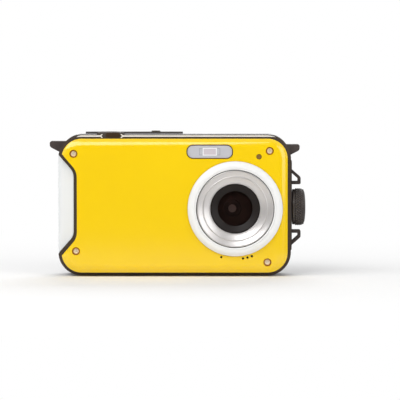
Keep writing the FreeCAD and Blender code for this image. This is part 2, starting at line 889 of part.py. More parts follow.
zoom_lift = half_height - s.zoom_edge
menu_lift = s.menu_edge - half_height
pad_lift = menu_lift + s.pad_rise
mode_lift = (zoom_lift + pad_lift) / 2 + s.mode_rise
key_places = {
    "zoom_out_key": (s.key_column - s.zoom_half, zoom_lift, s.key_radius),
    "zoom_in_key": (s.key_column + s.zoom_half, zoom_lift, s.key_radius),
    "play_key": (s.key_column - s.mode_half, mode_lift, s.arrow_radius),
    "mode_key": (s.key_column + s.mode_half, mode_lift, s.arrow_radius),
    "ok_key": (s.key_column, pad_lift, s.ok_radius),
    "up_key": (s.key_column, pad_lift + s.key_spacing, s.arrow_radius),
    "down_key": (s.key_column, pad_lift - s.key_spacing, s.arrow_radius),
    "left_key": (s.key_column - s.key_spacing, pad_lift, s.arrow_radius),
    "right_key": (s.key_column + s.key_spacing, pad_lift, s.arrow_radius),
    "menu_key": (s.key_column, menu_lift, s.arrow_radius),
}
key_holes = []
for name, (across, lift, radius) in key_places.items():
    place = (across, rear_inside - s.gap, centre + lift)
    key_holes.append(rod(name + "_hole", "Y", place, radius + s.slip, s.cover_wall + s.gap * 2))
rear_cover = cut("rear_cover_cut", rear_shell,
                 [window_seat, view_hole] + key_holes
                 + screw_wells("rear_well", rear_screws_at, rear_head, -1))
node(rear_cover, "rear_cover")
screws("rear_screws", rear_screws_at, rear_head, -1)

key_back = rear_inside - s.slip - s.key_flange_thick
for name, (across, lift, radius) in key_places.items():
    cap = s.key_proud + rear_face
    body = turned(name, "Y", (across, 0.0, centre + lift), [
        (0.0, key_back),
        (radius + s.key_flange, key_back),
        (radius + s.key_flange, key_back + s.key_flange_thick),
        (radius, key_back + s.key_flange_thick),
        (radius, cap - s.key_bevel),
        (radius - s.key_bevel, cap),
        (0.0, cap),
    ])
    node(body, name)

display_window = prism("display_window_plate", "front",
                       oblong(s.window_left + s.slip, s.window_right - s.slip, window_low + s.slip,
                              window_high - s.slip, s.window_round - s.slip),
                       (window_floor, rear_face - s.gap / 2))
node(display_window, "display_window")

# Lens port: ring, cone, bezel, window and seal

lens_axis = (s.lens_across, 0.0, lens_up)
seat_floor = front_face + s.seat_depth
ring_front = seat_floor - s.ring_height
ring_slope = (ring_radius - ring_bore) / 2
node(turned("lens_ring", "Y", lens_axis, [
    (ring_bore, seat_floor),
    (ring_radius, seat_floor),
    (ring_radius, ring_front + s.ring_bevel),
    (ring_radius - s.ring_bevel, ring_front + s.gap),
    (ring_bore + ring_slope, ring_front),
    (ring_bore, ring_front + s.gap),
]), "lens_ring")
cone_front = ring_front + s.gap
cone_back = cone_front + s.cone_depth
hub_back = front_inside + s.gap * 2
node(turned("lens_cone", "Y", lens_axis, [
    (cone_mouth, hub_back),
    (hub_radius, hub_back),
    (hub_radius, seat_floor),
    (ring_bore - s.slip, seat_floor),
    (ring_bore - s.slip, cone_front),
    (cone_mouth, cone_back),
]), "lens_cone")
bezel_front = cone_back + s.slip / 2
lip_back = bezel_front + s.ring_height / 2
glass_back = lip_back + s.glass_thick
flange_back = glass_back + s.seal_thick
node(turned("lens_bezel", "Y", lens_axis, [
    (lip_radius, lip_back),
    (lip_radius, lip_back - s.gap),
    (bezel_radius - s.gap, bezel_front),
    (bezel_radius, bezel_front),
    (bezel_radius, hub_back),
    (flange_radius, hub_back),
    (flange_radius, flange_back),
    (glass_radius + s.shaft_play, flange_back),
    (glass_radius + s.shaft_play, lip_back),
]), "lens_bezel")
node(turned("lens_window", "Y", lens_axis, [
    (0.0, lip_back),
    (glass_radius, lip_back),
    (glass_radius, glass_back),
    (0.0, glass_back),
]), "lens_window")
node(turned("lens_seal", "Y", lens_axis, [
    (glass_radius - s.seal_thick * 2, glass_back),
    (glass_radius, glass_back),
    (glass_radius, flange_back),
    (glass_radius - s.seal_thick * 2, flange_back),
]), "lens_seal")

# Lens module behind the port, a little to the left of the ring's centre

module_across = s.lens_across - s.module_offset
module_axis = (module_across, 0.0, lens_up)
holder_back = flange_back + s.holder_depth
barrel_front = glass_back + s.gap
barrel_back = flange_back + s.gap * 2
barrel_bore = s.barrel_radius - s.bay_wall * 2
node(turned("lens_barrel", "Y", module_axis, [
    (s.optic_radius, barrel_front),
    (s.barrel_radius, barrel_front),
    (s.barrel_radius, barrel_back),
    (barrel_bore, barrel_back),
    (barrel_bore, barrel_front + s.gap * 2),
    (s.optic_radius, barrel_front + s.gap * 2),
]), "lens_barrel")
element_front = barrel_front + s.gap * 2
node(turned("lens_elements", "Y", module_axis, [
    (0.0, element_front),
    (barrel_bore - s.shaft_play, element_front),
    (barrel_bore - s.shaft_play, barrel_back),
    (0.0, barrel_back),
]), "lens_elements")
holder = padded("holder_block", "front",
                oblong(s.lens_across - flange_radius, s.lens_across + flange_radius,
                       lens_up - flange_radius, lens_up + flange_radius, s.scoop_blend),
                (flange_back, holder_back))
holder_bore = turned("holder_bore", "Y", module_axis, [
    (0.0, flange_back - s.gap),
    (s.barrel_radius + s.shaft_play, flange_back - s.gap),
    (s.barrel_radius + s.shaft_play, barrel_back),
    (s.optic_radius, barrel_back),
    (s.optic_radius, holder_back + s.gap),
    (0.0, holder_back + s.gap),
])
node(cut("holder_cut", holder, [holder_bore]), "lens_holder")
node(box("sensor_board",
         (module_across - s.sensor_half, module_across + s.sensor_half),
         (holder_back, holder_back + s.sensor_thick),
         (lens_up - s.sensor_half, lens_up + s.sensor_half)), "image_sensor")

# Flash: pane, channel reflector, tube and storage capacitor

node(prism("flash_pane_plate", "front",
           oblong(flash_left + s.slip, flash_right - s.slip, flash_low + s.slip, flash_high - s.slip,
                  s.flash_corner - s.slip),
           (flash_floor - s.flash_pane, flash_floor)), "flash_window")
reflector_depth = (front_inside, front_inside + s.capacitor_radius)
reflector_block = padded("reflector_block", "front",
                         oblong(flash_left, flash_right, flash_low + s.gap, flash_high - s.gap * 2,
                                s.gap),
                         reflector_depth)
channel_radius = (s.flash_height - s.flash_ledge * 2) / 2
channel = rod("reflector_channel", "X", (flash_left + s.flash_ledge, reflector_depth[0], flash_up),
              channel_radius, s.flash_width - s.flash_ledge * 2)
node(cut("reflector_cut", reflector_block, [channel]), "flash_reflector")
tube_depth = reflector_depth[0] + channel_radius - s.tube_radius
node(rod("xenon_tube", "X", (flash_left + s.flash_ledge, tube_depth, flash_up), s.tube_radius,
         s.flash_width - s.flash_ledge * 2), "flash_tube")
capacitor_low = centre - s.capacitor_length / 2
capacitor_back = s.board_front - s.capacitor_radius - s.gap
node(turned("flash_capacitor", "Z", (s.capacitor_across, capacitor_back, capacitor_low), [
    (0.0, 0.0),
    (s.capacitor_radius, 0.0),
    (s.capacitor_radius, s.capacitor_length),
    (0.0, s.capacitor_length),
]), "flash_capacitor")

# Timer lamp, microphone and speaker behind the small holes

node(turned("timer_lamp", "Y", (s.lamp_across, front_face, lamp_up), [
    (0.0, s.gap),
    (s.lamp_radius, s.gap),
    (s.lamp_radius, s.cover_wall),
    (s.lamp_flange, s.cover_wall),
    (s.lamp_flange, s.cover_wall + s.lamp_radius * 2),
    (0.0, s.cover_wall + s.lamp_radius * 2),
]), "timer_lamp")


def sound_place(turn):
    """A point on the circle of sound holes, a turn away from straight down."""
    return (s.lens_across + sound_circle * math.sin(math.radians(turn)), front_inside,
            lens_up - sound_circle * math.cos(math.radians(turn)))


node(rod("microphone_can", "Y", sound_place(SOUND_TURNS[0]), s.microphone_radius,
         s.microphone_radius), "microphone")
speaker_place = sound_place(SOUND_TURNS[2])
node(turned("speaker", "Y", (speaker_place[0], front_inside, speaker_place[2] + s.speaker_lift), [
    (0.0, s.gap * 2),
    (s.speaker_radius - s.bay_wall * 2, s.gap * 2),
    (s.speaker_radius - s.bay_wall, 0.0),
    (s.speaker_radius, 0.0),
    (s.speaker_radius, s.speaker_thick / 2),
    (s.speaker_radius - s.bay_wall, s.speaker_thick),
    (0.0, s.speaker_thick),
]), "speaker")

# Tripod nut, moulded into its boss in the underside

node(turned("tripod_nut", "Z", (0.0, 0.0, 0.0), [
    (s.tripod_hole, 0.0),
    (s.nut_radius, 0.0),
    (s.nut_radius, s.nut_height),
    (0.0, s.nut_height),
    (0.0, s.tripod_thread_depth),
    (s.tripod_hole, s.tripod_thread_depth),
]), "tripod_nut")

# Battery in its bay, with the card socket on the bay's front wall

battery_low = centre - s.battery_height / 2
battery_high = centre + s.battery_height / 2
battery_start = s.battery_end - s.battery_length
battery_rear = s.battery_thick - s.battery_front
battery = padded("battery", "side",
                 oblong(-s.battery_front, battery_rear, battery_low, battery_high, s.bay_wall),
                 (battery_start, s.battery_end))
node(battery, "battery")
bay_left = battery_start - s.bay_wall * 2
bay_right = s.battery_end + s.gap
bay_play = s.gap - s.slip
bay_front = -s.battery_front - bay_play - s.bay_wall
bay_rear = battery_rear + bay_play
bay_block = padded("bay_block", "side",
                   oblong(bay_front, bay_rear + s.bay_sill, battery_low - bay_play - s.bay_wall,
                          battery_high + bay_play + s.bay_wall, s.bay_wall * 2),
                   (bay_left, bay_right))
bay_hollow = prism("bay_hollow", "side",
                   oblong(bay_front + s.bay_wall, bay_rear, battery_low - bay_play,
                          battery_high + bay_play, s.bay_wall),
                   (bay_left + s.bay_wall, bay_right + s.gap))
node(cut("bay_cut", bay_block, [bay_hollow]), "battery_bay")
contacts = []
for i in (-1, 0, 1):
    up = centre + s.battery_height / 4 * i
    contacts.append(box("contact_%d" % (i + 2), (bay_left + s.bay_wall, battery_start),
                        (battery_rear / 2 - s.bay_wall, battery_rear / 2 + s.bay_wall),
                        (up - s.bay_wall, up + s.bay_wall)))
node(group("contact_set", contacts), "battery_contacts")

card_back = bay_front
card_shell = (s.opening_depth / 2 + card_back - s.card_slot_thick) / 2
card_block = padded("card_block", "side",
                    [(-s.opening_depth / 2, centre - s.card_width / 2),
                     (card_back, centre - s.card_width / 2),
                     (card_back, centre + s.card_width / 2),
                     (-s.opening_depth / 2, centre + s.card_width / 2)],
                    (s.battery_end - s.card_length, s.battery_end))
card_slot = box("card_slot_tool",
                (s.battery_end - s.card_length + s.bay_wall, s.battery_end + s.gap),
                (card_back - card_shell - s.card_slot_thick, card_back - card_shell),
                (centre - s.card_slot / 2, centre + s.card_slot / 2))
node(cut("card_cut", card_block, [card_slot]), "card_socket")

# Main board with its chips, the display panel and the key switches

board_low = s.board_edge
board_high = s.body_height - s.board_edge
board_rear = s.board_front + s.board_thick
board = padded("board_blank", "front", [
    (-s.board_left, board_low, s.bay_wall),
    (s.board_right, board_low, s.bay_wall),
    (s.board_right, board_high, s.bay_wall),
    (-s.board_left, board_high, s.bay_wall),
], (s.board_front, board_rear))
board_holes = bosses("board_hole", rear_screws_at + front_screws_at, s.boss_radius + s.gap,
                     (s.board_front - s.gap, board_rear + s.gap))
board_holes.append(rod("board_socket_notch", "Z", (0.0, 0.0, 0.0), s.nut_boss + s.gap,
                       s.nut_height + s.bay_wall * 2 + s.gap))
node(cut("board_cut", board, board_holes), "main_board")
chips = []
for name in ("processor", "memory", "supply"):
    across = getattr(s, name + "_across")
    up = centre + getattr(s, name + "_lift")
    half = getattr(s, name + "_side") / 2
    chips.append(box(name + "_chip", (across - half, across + half),
                     (s.board_front - s.chip_thick, s.board_front), (up - half, up + half)))
node(group("chip_set", chips), "main_chips")

panel_rear = rear_inside - s.gap
panel_front = panel_rear - s.panel_thick
node(padded("display_panel", "front",
            oblong(s.window_left + s.gap, s.board_right - s.gap * 2, window_low + s.gap,
                   window_high - s.gap, s.bay_wall),
            (panel_front, panel_rear)), "display_panel")

mat_left = s.key_column - s.key_spacing - s.arrow_radius
mat_right = s.key_column + s.key_spacing + s.arrow_radius
mat_rear = key_back - s.key_flange_thick - s.slip
mat_front = mat_rear - s.mat_thick
switch_lift = board_rear
switches = []
for name, (across, lift, radius) in key_places.items():
    place = (across, switch_lift, centre + lift)
    switches.append(rod(name + "_switch", "Y", place, s.key_switch_radius, mat_front - switch_lift))
node(group("switch_set", switches), "key_switches")
node(padded("key_mat", "front",
            oblong(mat_left, mat_right, centre + menu_lift - s.key_radius,
                   centre + zoom_lift + s.key_radius, s.arrow_radius),
            (mat_front, mat_rear)), "key_mat")

# Side grip that fills the scoop, its face curving back to the end of the body

grip_front = front_seam + s.rim
grip_top_view = prism("grip_block", "top", [
    (-half_width - s.trim_proud, rear_seam),
    (-half_width - s.trim_proud, grip_front + s.capacitor_radius, s.capacitor_radius),
    (scoop_face, grip_front - s.rim, s.capacitor_radius),
    (scoop_face + s.rim, grip_front - s.rim),
    (scoop_face + s.rim, rear_seam),
], (0.0, s.body_height))
grip_fill = overlap("grip_fill", grip_top_view,
                    scoop_prism("grip_scoop", -s.rim - s.slip, (front_seam - s.gap, rear_seam)))
grip = overlap("grip_shape", grip_fill,
               shell_prism("grip_bound", s.rim + s.trim_proud, (front_seam, rear_seam)))
node(grip, "side_grip")

# Silver trim along the front of the top, split by the collar of the shutter button

trim_bar = box("trim_bar", (-s.trim_left + s.slip, s.trim_right - s.slip),
               (front_seam, trim_rear - s.slip), (trim_floor, s.body_height + s.rim))
trim_line = overlap("trim_line", trim_bar,
                    shell_prism("trim_bound", s.rim + s.trim_proud, (front_seam - s.gap, trim_rear)))
collar_lean = s.trim_depth + s.trim_proud
trim_gap = prism("trim_gap", "front", [
    (collar_left - s.slip - collar_lean / 2, trim_floor - s.gap),
    (collar_right + s.slip + collar_lean / 2, trim_floor - s.gap),
    (collar_right + s.slip, s.body_height + s.rim),
    (collar_left - s.slip, s.body_height + s.rim),
], (front_seam - s.gap, trim_rear + s.gap))
node(cut("trim_cut", trim_line, [trim_gap]), "top_trim")

# Raised panel on the top with the collar of the shutter button

panel_top = s.body_height + s.panel_proud
panel_plate = padded("panel_plate", "top",
                     oblong(-s.panel_left, s.panel_right, s.panel_front, s.panel_rear, s.panel_front),
                     (s.body_height, panel_top))
collar = prism("collar", "front", [
    (collar_left - collar_lean / 2, trim_floor),
    (collar_right + collar_lean / 2, trim_floor),
    (collar_right, panel_top),
    (collar_left, panel_top),
], (front_seam + s.slip, s.panel_front + s.gap))
collar_ledge = box("collar_ledge", (collar_left - s.rim, collar_right + s.rim),
                   (trim_rear - s.slip, s.panel_front + s.rim), (trim_floor - s.gap, s.body_height))
collar_trimmed = cut("collar_trimmed", collar, [collar_ledge])
panel_blank = unite("panel_blank", [panel_plate, collar_trimmed])
panel_holes = [
    prism("panel_shutter_hole", "top",
          oblong(s.shutter_across - s.shutter_length / 2 - s.slip,
                 s.shutter_across + s.shutter_length / 2 + s.slip,
                 shutter_front - s.slip, shutter_rear + s.slip, s.shutter_width / 2 - s.gap),
          (trim_floor - s.gap, panel_top + s.gap)),
    rod("panel_power_hole", "Z", (s.power_across, s.power_back, s.body_height - s.gap),
        s.power_radius + s.slip, s.panel_proud + s.gap * 2),
]
node(cut("panel_cut", panel_blank, panel_holes), "top_panel")

# Buttons on the top, with their stems, rings and switches

stem_low = inner_top - s.gap
shutter_low = trim_floor + s.shutter_travel + s.slip * 2
shutter_top = s.body_height + s.shutter_height
shutter_left = s.shutter_across - s.shutter_length / 2
shutter_right = s.shutter_across + s.shutter_length / 2
shutter_cap = padded("shutter_cap", "top",
                     oblong(shutter_left, shutter_right, shutter_front, shutter_rear,
                            s.shutter_width / 2 - s.gap * 2),
                     (shutter_low, shutter_top))
rounded(shutter_cap, "shutter_edge", s.gap * 2, flat_at("Z", shutter_top))
shutter_stem = rod("shutter_stem", "Z", (s.shutter_across, s.shutter_back, stem_low), s.stem_radius,
                   shutter_low - stem_low + s.gap)
node(unite("shutter_joined", [shutter_cap, shutter_stem]), "shutter_button")
power_top = panel_top + s.power_proud
power_low = trim_floor + s.power_proud + s.gap
node(turned("power_button", "Z", (s.power_across, s.power_back, 0.0), [
    (0.0, stem_low),
    (s.stem_radius, stem_low),
    (s.stem_radius, power_low),
    (s.power_radius, power_low),
    (s.power_radius, power_top),
    (0.0, power_top),
]), "power_button")
rings = []
for name, across, back in (("shutter_ring", s.shutter_across, s.shutter_back),
                           ("power_ring", s.power_across, s.power_back)):
    rings.append(turned(name, "Z", (across, back, trim_floor - s.seal_thick), [
        (s.stem_radius + s.shaft_play, 0.0),
        (ring_seat_radius, 0.0),
        (ring_seat_radius, s.seal_thick),
        (s.stem_radius + s.shaft_play, s.seal_thick),
    ]))
node(group("ring_set", rings), "button_seals")
switch_top = stem_low - s.shutter_travel - s.slip
switch_low = switch_top - s.board_thick
top_board = box("top_board", (s.shutter_across - s.key_radius, s.power_across + s.key_radius),
                (s.shutter_back - s.key_radius, s.board_front), (switch_low - s.board_thick, switch_low))
top_pads = [
    rod("shutter_switch", "Z", (s.shutter_across, s.shutter_back, switch_low), s.arrow_radius,
        s.board_thick),
    rod("power_switch", "Z", (s.power_across, s.board_front - s.arrow_radius, switch_low), s.stem_radius,
        s.board_thick),
]
node(unite("top_switch_set", [top_board] + top_pads), "top_switches")

# Strap lugs on both ends, each with an upright hole for the cord

housing_bound = shell_prism("lug_bound", s.rim, (-s.lug_half - s.gap, s.lug_half + s.gap))


def strap_lug(name, side, top, bottom):
    """A lug that stands out from the end of the housing."""
    root = half_width - s.corner_round
    tip = half_width + s.lug_reach
    outside = prism(name + "_blank", "front", [
        (root * side, centre + bottom),
        (root * side, centre + top),
        (tip * side, centre + top, s.rim / 2),
        (tip * side, centre + (top + bottom) / 2, s.rim),
        ((half_width - s.rim / 2) * side, centre + bottom, s.rim),
    ][::side], (-s.lug_half, s.lug_half))
    middle = half_width + s.lug_reach - s.lug_hole - s.bay_wall
    hole = rod(name + "_hole", "Z", (middle * side, 0.0, centre + bottom - s.gap), s.lug_hole,
               top - bottom + s.gap * 2)
    return node(cut(name + "_cut", outside, [housing_bound, hole]), name)


strap_lug("strap_lug_left", -1, half_height - s.left_lug_top_edge, half_height - s.left_lug_bottom_edge)
strap_lug("strap_lug_right", 1, s.right_lug_top, s.right_lug_bottom)

# Battery door, hinged at its bottom edge, with its plug, knuckle and guard loops

knob_base = door_outside + s.gap
knob_up = centre - s.knob_below
door_plate = padded("door_plate", "side",
                    oblong(-s.door_half, s.door_half, door_bottom, door_top, s.door_corner),
                    (door_face, door_outside))
plug_half = opening_half - s.gap - s.slip / 2
plug_low = opening_bottom + s.gap + s.slip / 2
plug_high = opening_top - s.gap - s.slip / 2
plug_block = prism("plug_block", "side",
                   oblong(-plug_half, plug_half, plug_low, plug_high, s.plug_wall),
                   (door_face - s.plug_depth, door_face + s.slip))
plug_hollow = prism("plug_hollow", "side",
                    oblong(-plug_half + s.plug_wall, plug_half - s.plug_wall, plug_low + s.plug_wall,
                           plug_high - s.plug_wall, s.plug_wall / 2),
                    (door_face - s.plug_depth - s.gap, door_face))
knuckle = rod("knuckle", "Y", (s.hinge_across, -s.knuckle_half, hinge_lift), s.knuckle_radius,
              s.knuckle_half * 2)
hinge_arm = box("hinge_arm", (s.hinge_across, door_outside), (-s.knuckle_half, s.knuckle_half),
                (hinge_lift, door_bottom + s.door_corner))


def guard_loop(name, side):
    """A bent bar beside the knob, open from front to back."""
    foot = door_outside - s.guard_bar
    reach = door_outside + s.guard_reach
    loop = drawn(name + "_outline", "front", [
        (foot, knob_up + s.guard_near * side),
        (reach, knob_up + s.guard_near * side, s.guard_bar / 2),
        (reach, knob_up + (s.guard_near + s.guard_bend) * side, s.guard_bar),
        (foot, knob_up + (s.guard_far + s.guard_bar) * side),
    ][::side], -s.lug_half)
    inside = doc.addObject("Part::Offset2D", name + "_inside")
    inside.Source = loop
    inside.Join = 0
    bind(inside, "Value", -s.guard_bar)
    outer = extrude(name + "_outer", "front", loop, s.lug_half * 2)
    inner = extrude(name + "_inner", "front", inside, s.lug_half * 2)
    return cut(name, outer, [inner])


loops = [guard_loop("guard_upper", 1), guard_loop("guard_lower", -1)]
loop_set = cut("guard_trimmed", unite("guard_pair", loops),
               [box("guard_inside", (door_face - s.rim * 2, door_face + s.gap),
                    (-s.door_half, s.door_half), (door_bottom - s.rim, door_top + s.rim))])
plug = cut("plug", plug_block, [plug_hollow])
door_solid = unite("door_solid", [door_plate, plug, knuckle, hinge_arm, loop_set])
shaft_hole = rod("shaft_hole", "X", (door_face - s.plug_depth - s.gap, 0.0, knob_up),
                 s.knob_shaft + s.shaft_play, s.plug_depth + s.door_thick + s.gap * 2)
oring_seat = rod("oring_seat", "X", (door_outside - s.oring_depth, 0.0, knob_up),
                 s.knob_shaft + s.gasket_width + s.shaft_play, s.oring_depth + s.gap)
pin_bore = rod("pin_bore", "Y", (s.hinge_across, -s.knuckle_half - s.gap, hinge_lift),
               s.pin_radius + s.shaft_play, s.knuckle_half * 2 + s.gap * 2)
node(cut("door_cut", door_solid, [shaft_hole, oring_seat, pin_bore]), "battery_door")
node(rod("pin", "Y", (s.hinge_across, -pin_half, hinge_lift), s.pin_radius, pin_half * 2), "hinge_pin")
seal_in = s.slip * 2
seal_out = seal_in + s.gasket_width
seal_ring = cut("door_seal_ring",
                prism("door_seal_outer", "side",
                      oblong(-opening_half - seal_out, opening_half + seal_out, opening_bottom - seal_out,
                             opening_top + seal_out, s.plug_wall),
                      (door_floor, door_face)),
                [prism("door_seal_inner", "side",
                       oblong(-opening_half - seal_in, opening_half + seal_in, opening_bottom - seal_in,
                              opening_top + seal_in, s.plug_wall / 2),
                       (door_floor - s.gap, door_face + s.gap))])
node(seal_ring, "door_seal")

# Lock knob with its shaft and ring, and the latch bar on its inner end

knob_end = knob_base + s.knob_thick
dog_back = inner_right - s.gap + s.slip / 2
dog_front = dog_back - s.dog_thick
knob = turned("knob_body", "X", (0.0, 0.0, knob_up), [
    (0.0, dog_front),
    (s.knob_shaft / 2, dog_front),
    (s.knob_shaft / 2, dog_back),
    (s.knob_shaft, dog_back),
    (s.knob_shaft, knob_base),
    (s.knob_radius - s.flute_radius, knob_base),
    (s.knob_radius - s.flute_radius, knob_base + s.knob_collar),
    (s.knob_radius, knob_base + s.knob_collar),
    (s.knob_radius, knob_end - s.knob_crown),
    (s.knob_radius - s.knob_bevel, knob_end - s.knob_bevel),
    (s.knob_radius - s.knob_dome, knob_end - s.gap),
    (0.0, knob_end),
])
fluted(knob, "knob_flute", 0.0, s.knob_radius, s.flute_radius, knob_base + s.knob_collar,
       s.knob_thick, s.knob_flutes)
node(knob, "lock_knob")
node(turned("knob_ring", "X", (0.0, 0.0, knob_up), [
    (s.knob_shaft + s.shaft_play, door_outside - s.oring_depth),
    (s.knob_shaft + s.gasket_width, door_outside - s.oring_depth),
    (s.knob_shaft + s.gasket_width, door_outside),
    (s.knob_shaft + s.shaft_play, door_outside),
]), "knob_seal")
latch_blank = padded("latch_blank", "side",
                   oblong(-s.dog_width / 2, s.dog_width / 2, knob_up - s.dog_length / 2,
                          knob_up + s.dog_length / 2, s.dog_width / 4),
                   (dog_front, dog_back))
latch_hole = rod("latch_hole", "X", (dog_front - s.gap, 0.0, knob_up), s.knob_shaft / 2,
                 s.dog_thick + s.gap * 2)
latch_head = rod("latch_head", "X", (dog_front - s.seal_thick, 0.0, knob_up), s.screw_head,
                  s.seal_thick)
node(cut("latch_cut", latch_blank, [latch_hole]), "latch_bar")
node(latch_head, "latch_screw")

# Recompute, check every object and write one file for each piece

doc.recompute()
for thing in doc.Objects:
    if "Invalid" in thing.State or "Error" in thing.State:
        raise RuntimeError("%s failed" % thing.Label)
for piece in NODES:
    if piece.Shape.isNull() or not piece.Shape.isValid() or not piece.Shape.Solids:
        raise RuntimeError("%s has no sound shape" % piece.Label)
os.makedirs("parts", exist_ok=True)
for piece in NODES:
    piece.Shape.exportStep("parts/%s.step" % piece.Label)
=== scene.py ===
import json
import math

import bmesh
import bpy
from mathutils import Matrix, Vector

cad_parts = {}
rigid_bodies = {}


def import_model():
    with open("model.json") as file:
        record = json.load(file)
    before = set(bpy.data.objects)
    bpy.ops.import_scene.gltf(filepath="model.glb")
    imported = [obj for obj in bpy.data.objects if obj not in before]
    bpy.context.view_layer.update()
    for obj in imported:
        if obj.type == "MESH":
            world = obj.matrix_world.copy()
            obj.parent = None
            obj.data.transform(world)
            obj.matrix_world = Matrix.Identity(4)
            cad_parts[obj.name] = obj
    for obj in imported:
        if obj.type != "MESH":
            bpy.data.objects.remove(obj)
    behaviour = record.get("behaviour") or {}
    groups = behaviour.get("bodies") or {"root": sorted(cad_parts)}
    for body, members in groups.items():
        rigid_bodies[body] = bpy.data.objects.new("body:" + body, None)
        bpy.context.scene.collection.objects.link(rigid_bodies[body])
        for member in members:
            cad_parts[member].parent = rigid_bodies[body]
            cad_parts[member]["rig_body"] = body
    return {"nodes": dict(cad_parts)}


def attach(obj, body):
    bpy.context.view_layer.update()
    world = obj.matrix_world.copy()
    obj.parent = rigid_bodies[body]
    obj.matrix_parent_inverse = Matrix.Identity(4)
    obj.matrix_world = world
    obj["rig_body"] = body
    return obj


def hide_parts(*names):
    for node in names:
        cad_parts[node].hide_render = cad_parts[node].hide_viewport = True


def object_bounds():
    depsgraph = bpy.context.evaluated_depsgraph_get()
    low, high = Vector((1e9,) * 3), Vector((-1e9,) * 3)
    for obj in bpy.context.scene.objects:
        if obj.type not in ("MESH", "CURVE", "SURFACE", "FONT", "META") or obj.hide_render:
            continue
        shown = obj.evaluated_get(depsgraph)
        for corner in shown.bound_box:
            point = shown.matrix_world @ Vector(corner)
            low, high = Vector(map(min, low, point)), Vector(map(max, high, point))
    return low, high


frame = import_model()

cad_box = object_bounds()


# Front cover
# One injection-moulded plate of glossy yellow ABS, crowned towards its edge, with a thumb scoop in its
# left end. It is dressed from the frame's own shape, with the small round that every moulded edge has.

MILLIMETRE = 0.001
SMOOTH_BELOW = math.radians(28)
SHARP_ABOVE = math.radians(60)
FLAT_BELOW = math.radians(0.8)
SAME_POINT = 0.0000005
MOULDED_ROUND = 0.00015


def linear(colour):
    """An sRGB hex colour as the linear values that a shader takes."""
    values = []
    for start in (1, 3, 5):
        part = int(colour[start:start + 2], 16) / 255
        values.append(part / 12.92 if part <= 0.04045 else ((part + 0.055) / 1.055) ** 2.4)
    return (*values, 1.0)


def add(tree, kind, inputs, **settings):
    """Adds a node with its settings, and gives each named input a value or a link."""
    made = tree.nodes.new(kind)
    for name, value in settings.items():
        setattr(made, name, value)
    for name, value in inputs.items():
        if isinstance(value, bpy.types.NodeSocket):
            tree.links.new(value, made.inputs[name])
        else:
            made.inputs[name].default_value = value
    return made


def mixed(tree, share, first, second):
    """A colour between two hex colours or colour sockets, by a share from 0 to 1."""
    blend = add(tree, "ShaderNodeMix", {0: share}, data_type="RGBA")
    for slot, colour in ((6, first), (7, second)):
        if isinstance(colour, str):
            blend.inputs[slot].default_value = linear(colour)
        else:
            tree.links.new(colour, blend.inputs[slot])
    return blend.outputs[2]


def new_material(name):
    """An empty material with its node tree and the place on the object, in metres."""
    made = bpy.data.materials.new(name)
    made.use_nodes = True
    tree = made.node_tree
    tree.nodes.clear()
    place = add(tree, "ShaderNodeTexCoord", {}).outputs["Object"]
    return made, tree, place


def end_material(tree, shader):
    """Sends a shader to the material's output."""
    add(tree, "ShaderNodeOutputMaterial", {"Surface": shader.outputs[0]})


def finish_mesh(piece, round_width, segments=2):
    """Gives a piece small rounds on its sharp edges, flat faces that shade flat, and smooth rounds."""
    piece.data.shade_smooth()
    if round_width:
        bevel = piece.modifiers.new("moulded_edge", "BEVEL")
        bevel.width = round_width
        bevel.segments = segments
        bevel.limit_method = "ANGLE"
        bevel.angle_limit = SMOOTH_BELOW
        bevel.use_clamp_overlap = True
    even = piece.modifiers.new("even_shading", "WEIGHTED_NORMAL")
    even.keep_sharp = True
    even.weight = 100
    piece.data.set_sharp_from_angle(angle=SHARP_ABOVE)
    depsgraph = bpy.context.evaluated_depsgraph_get()
    mesh = bpy.data.meshes.new_from_object(piece.evaluated_get(depsgraph))
    piece.modifiers.clear()
    piece.data = mesh


def dressed(name, material, round_width=MOULDED_ROUND, segments=2):
    """Sets a CAD node's shape in the scene as one clean mesh, its edges rounded, its material on."""
    source = frame["nodes"][name]
    work = bmesh.new()
    work.from_mesh(source.data)
    bmesh.ops.remove_doubles(work, verts=work.verts, dist=SAME_POINT)
    bmesh.ops.dissolve_limit(work, angle_limit=FLAT_BELOW, verts=work.verts, edges=work.edges)
    mesh = bpy.data.meshes.new(name + "_look")
    work.to_mesh(mesh)
    work.free()
    piece = bpy.data.objects.new(name + "_look", mesh)
    bpy.context.scene.collection.objects.link(piece)
    finish_mesh(piece, round_width, segments)
    piece.data.materials.clear()
    piece.data.materials.append(material)
    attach(piece, source["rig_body"])
    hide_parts(name)


def yellow_abs():
    """Glossy moulded ABS: an even, saturated yellow with a deep wet gloss and a faint flow in its skin."""
    made, tree, place = new_material("yellow_abs")
    cloud = add(tree, "ShaderNodeTexNoise", {"Vector": place, "Scale": 28.0, "Detail": 2.0})
    tint = mixed(tree, cloud.outputs["Fac"], "#fad300", "#f6cc00")
    skin = add(tree, "ShaderNodeTexNoise", {"Vector": place, "Scale": 900.0, "Detail": 3.0})
    gloss = add(tree, "ShaderNodeMapRange", {"Value": skin.outputs["Fac"], "To Min": 0.12, "To Max": 0.2})
    bump = add(tree, "ShaderNodeBump", {"Height": skin.outputs["Fac"], "Strength": 0.03,
                                        "Distance": 0.00005})
    shader = add(tree, "ShaderNodeBsdfPrincipled", {
        "Base Color": tint, "Roughness": gloss.outputs["Result"], "Normal": bump.outputs["Normal"],
        "IOR": 1.5, "Coat Weight": 0.7, "Coat Roughness": 0.1})
    end_material(tree, shader)
    return made


dressed("front_cover", yellow_abs(), round_width=0.0003, segments=3)


# Front and rear screws
# Steel screws with a cross recess sit in bronze cup washers, one in each corner of both covers. One head
# and one washer are made, and a node tree sets them on a point for each screw of the front, and again
# for the back, where they are mirrored so that they face the other way.

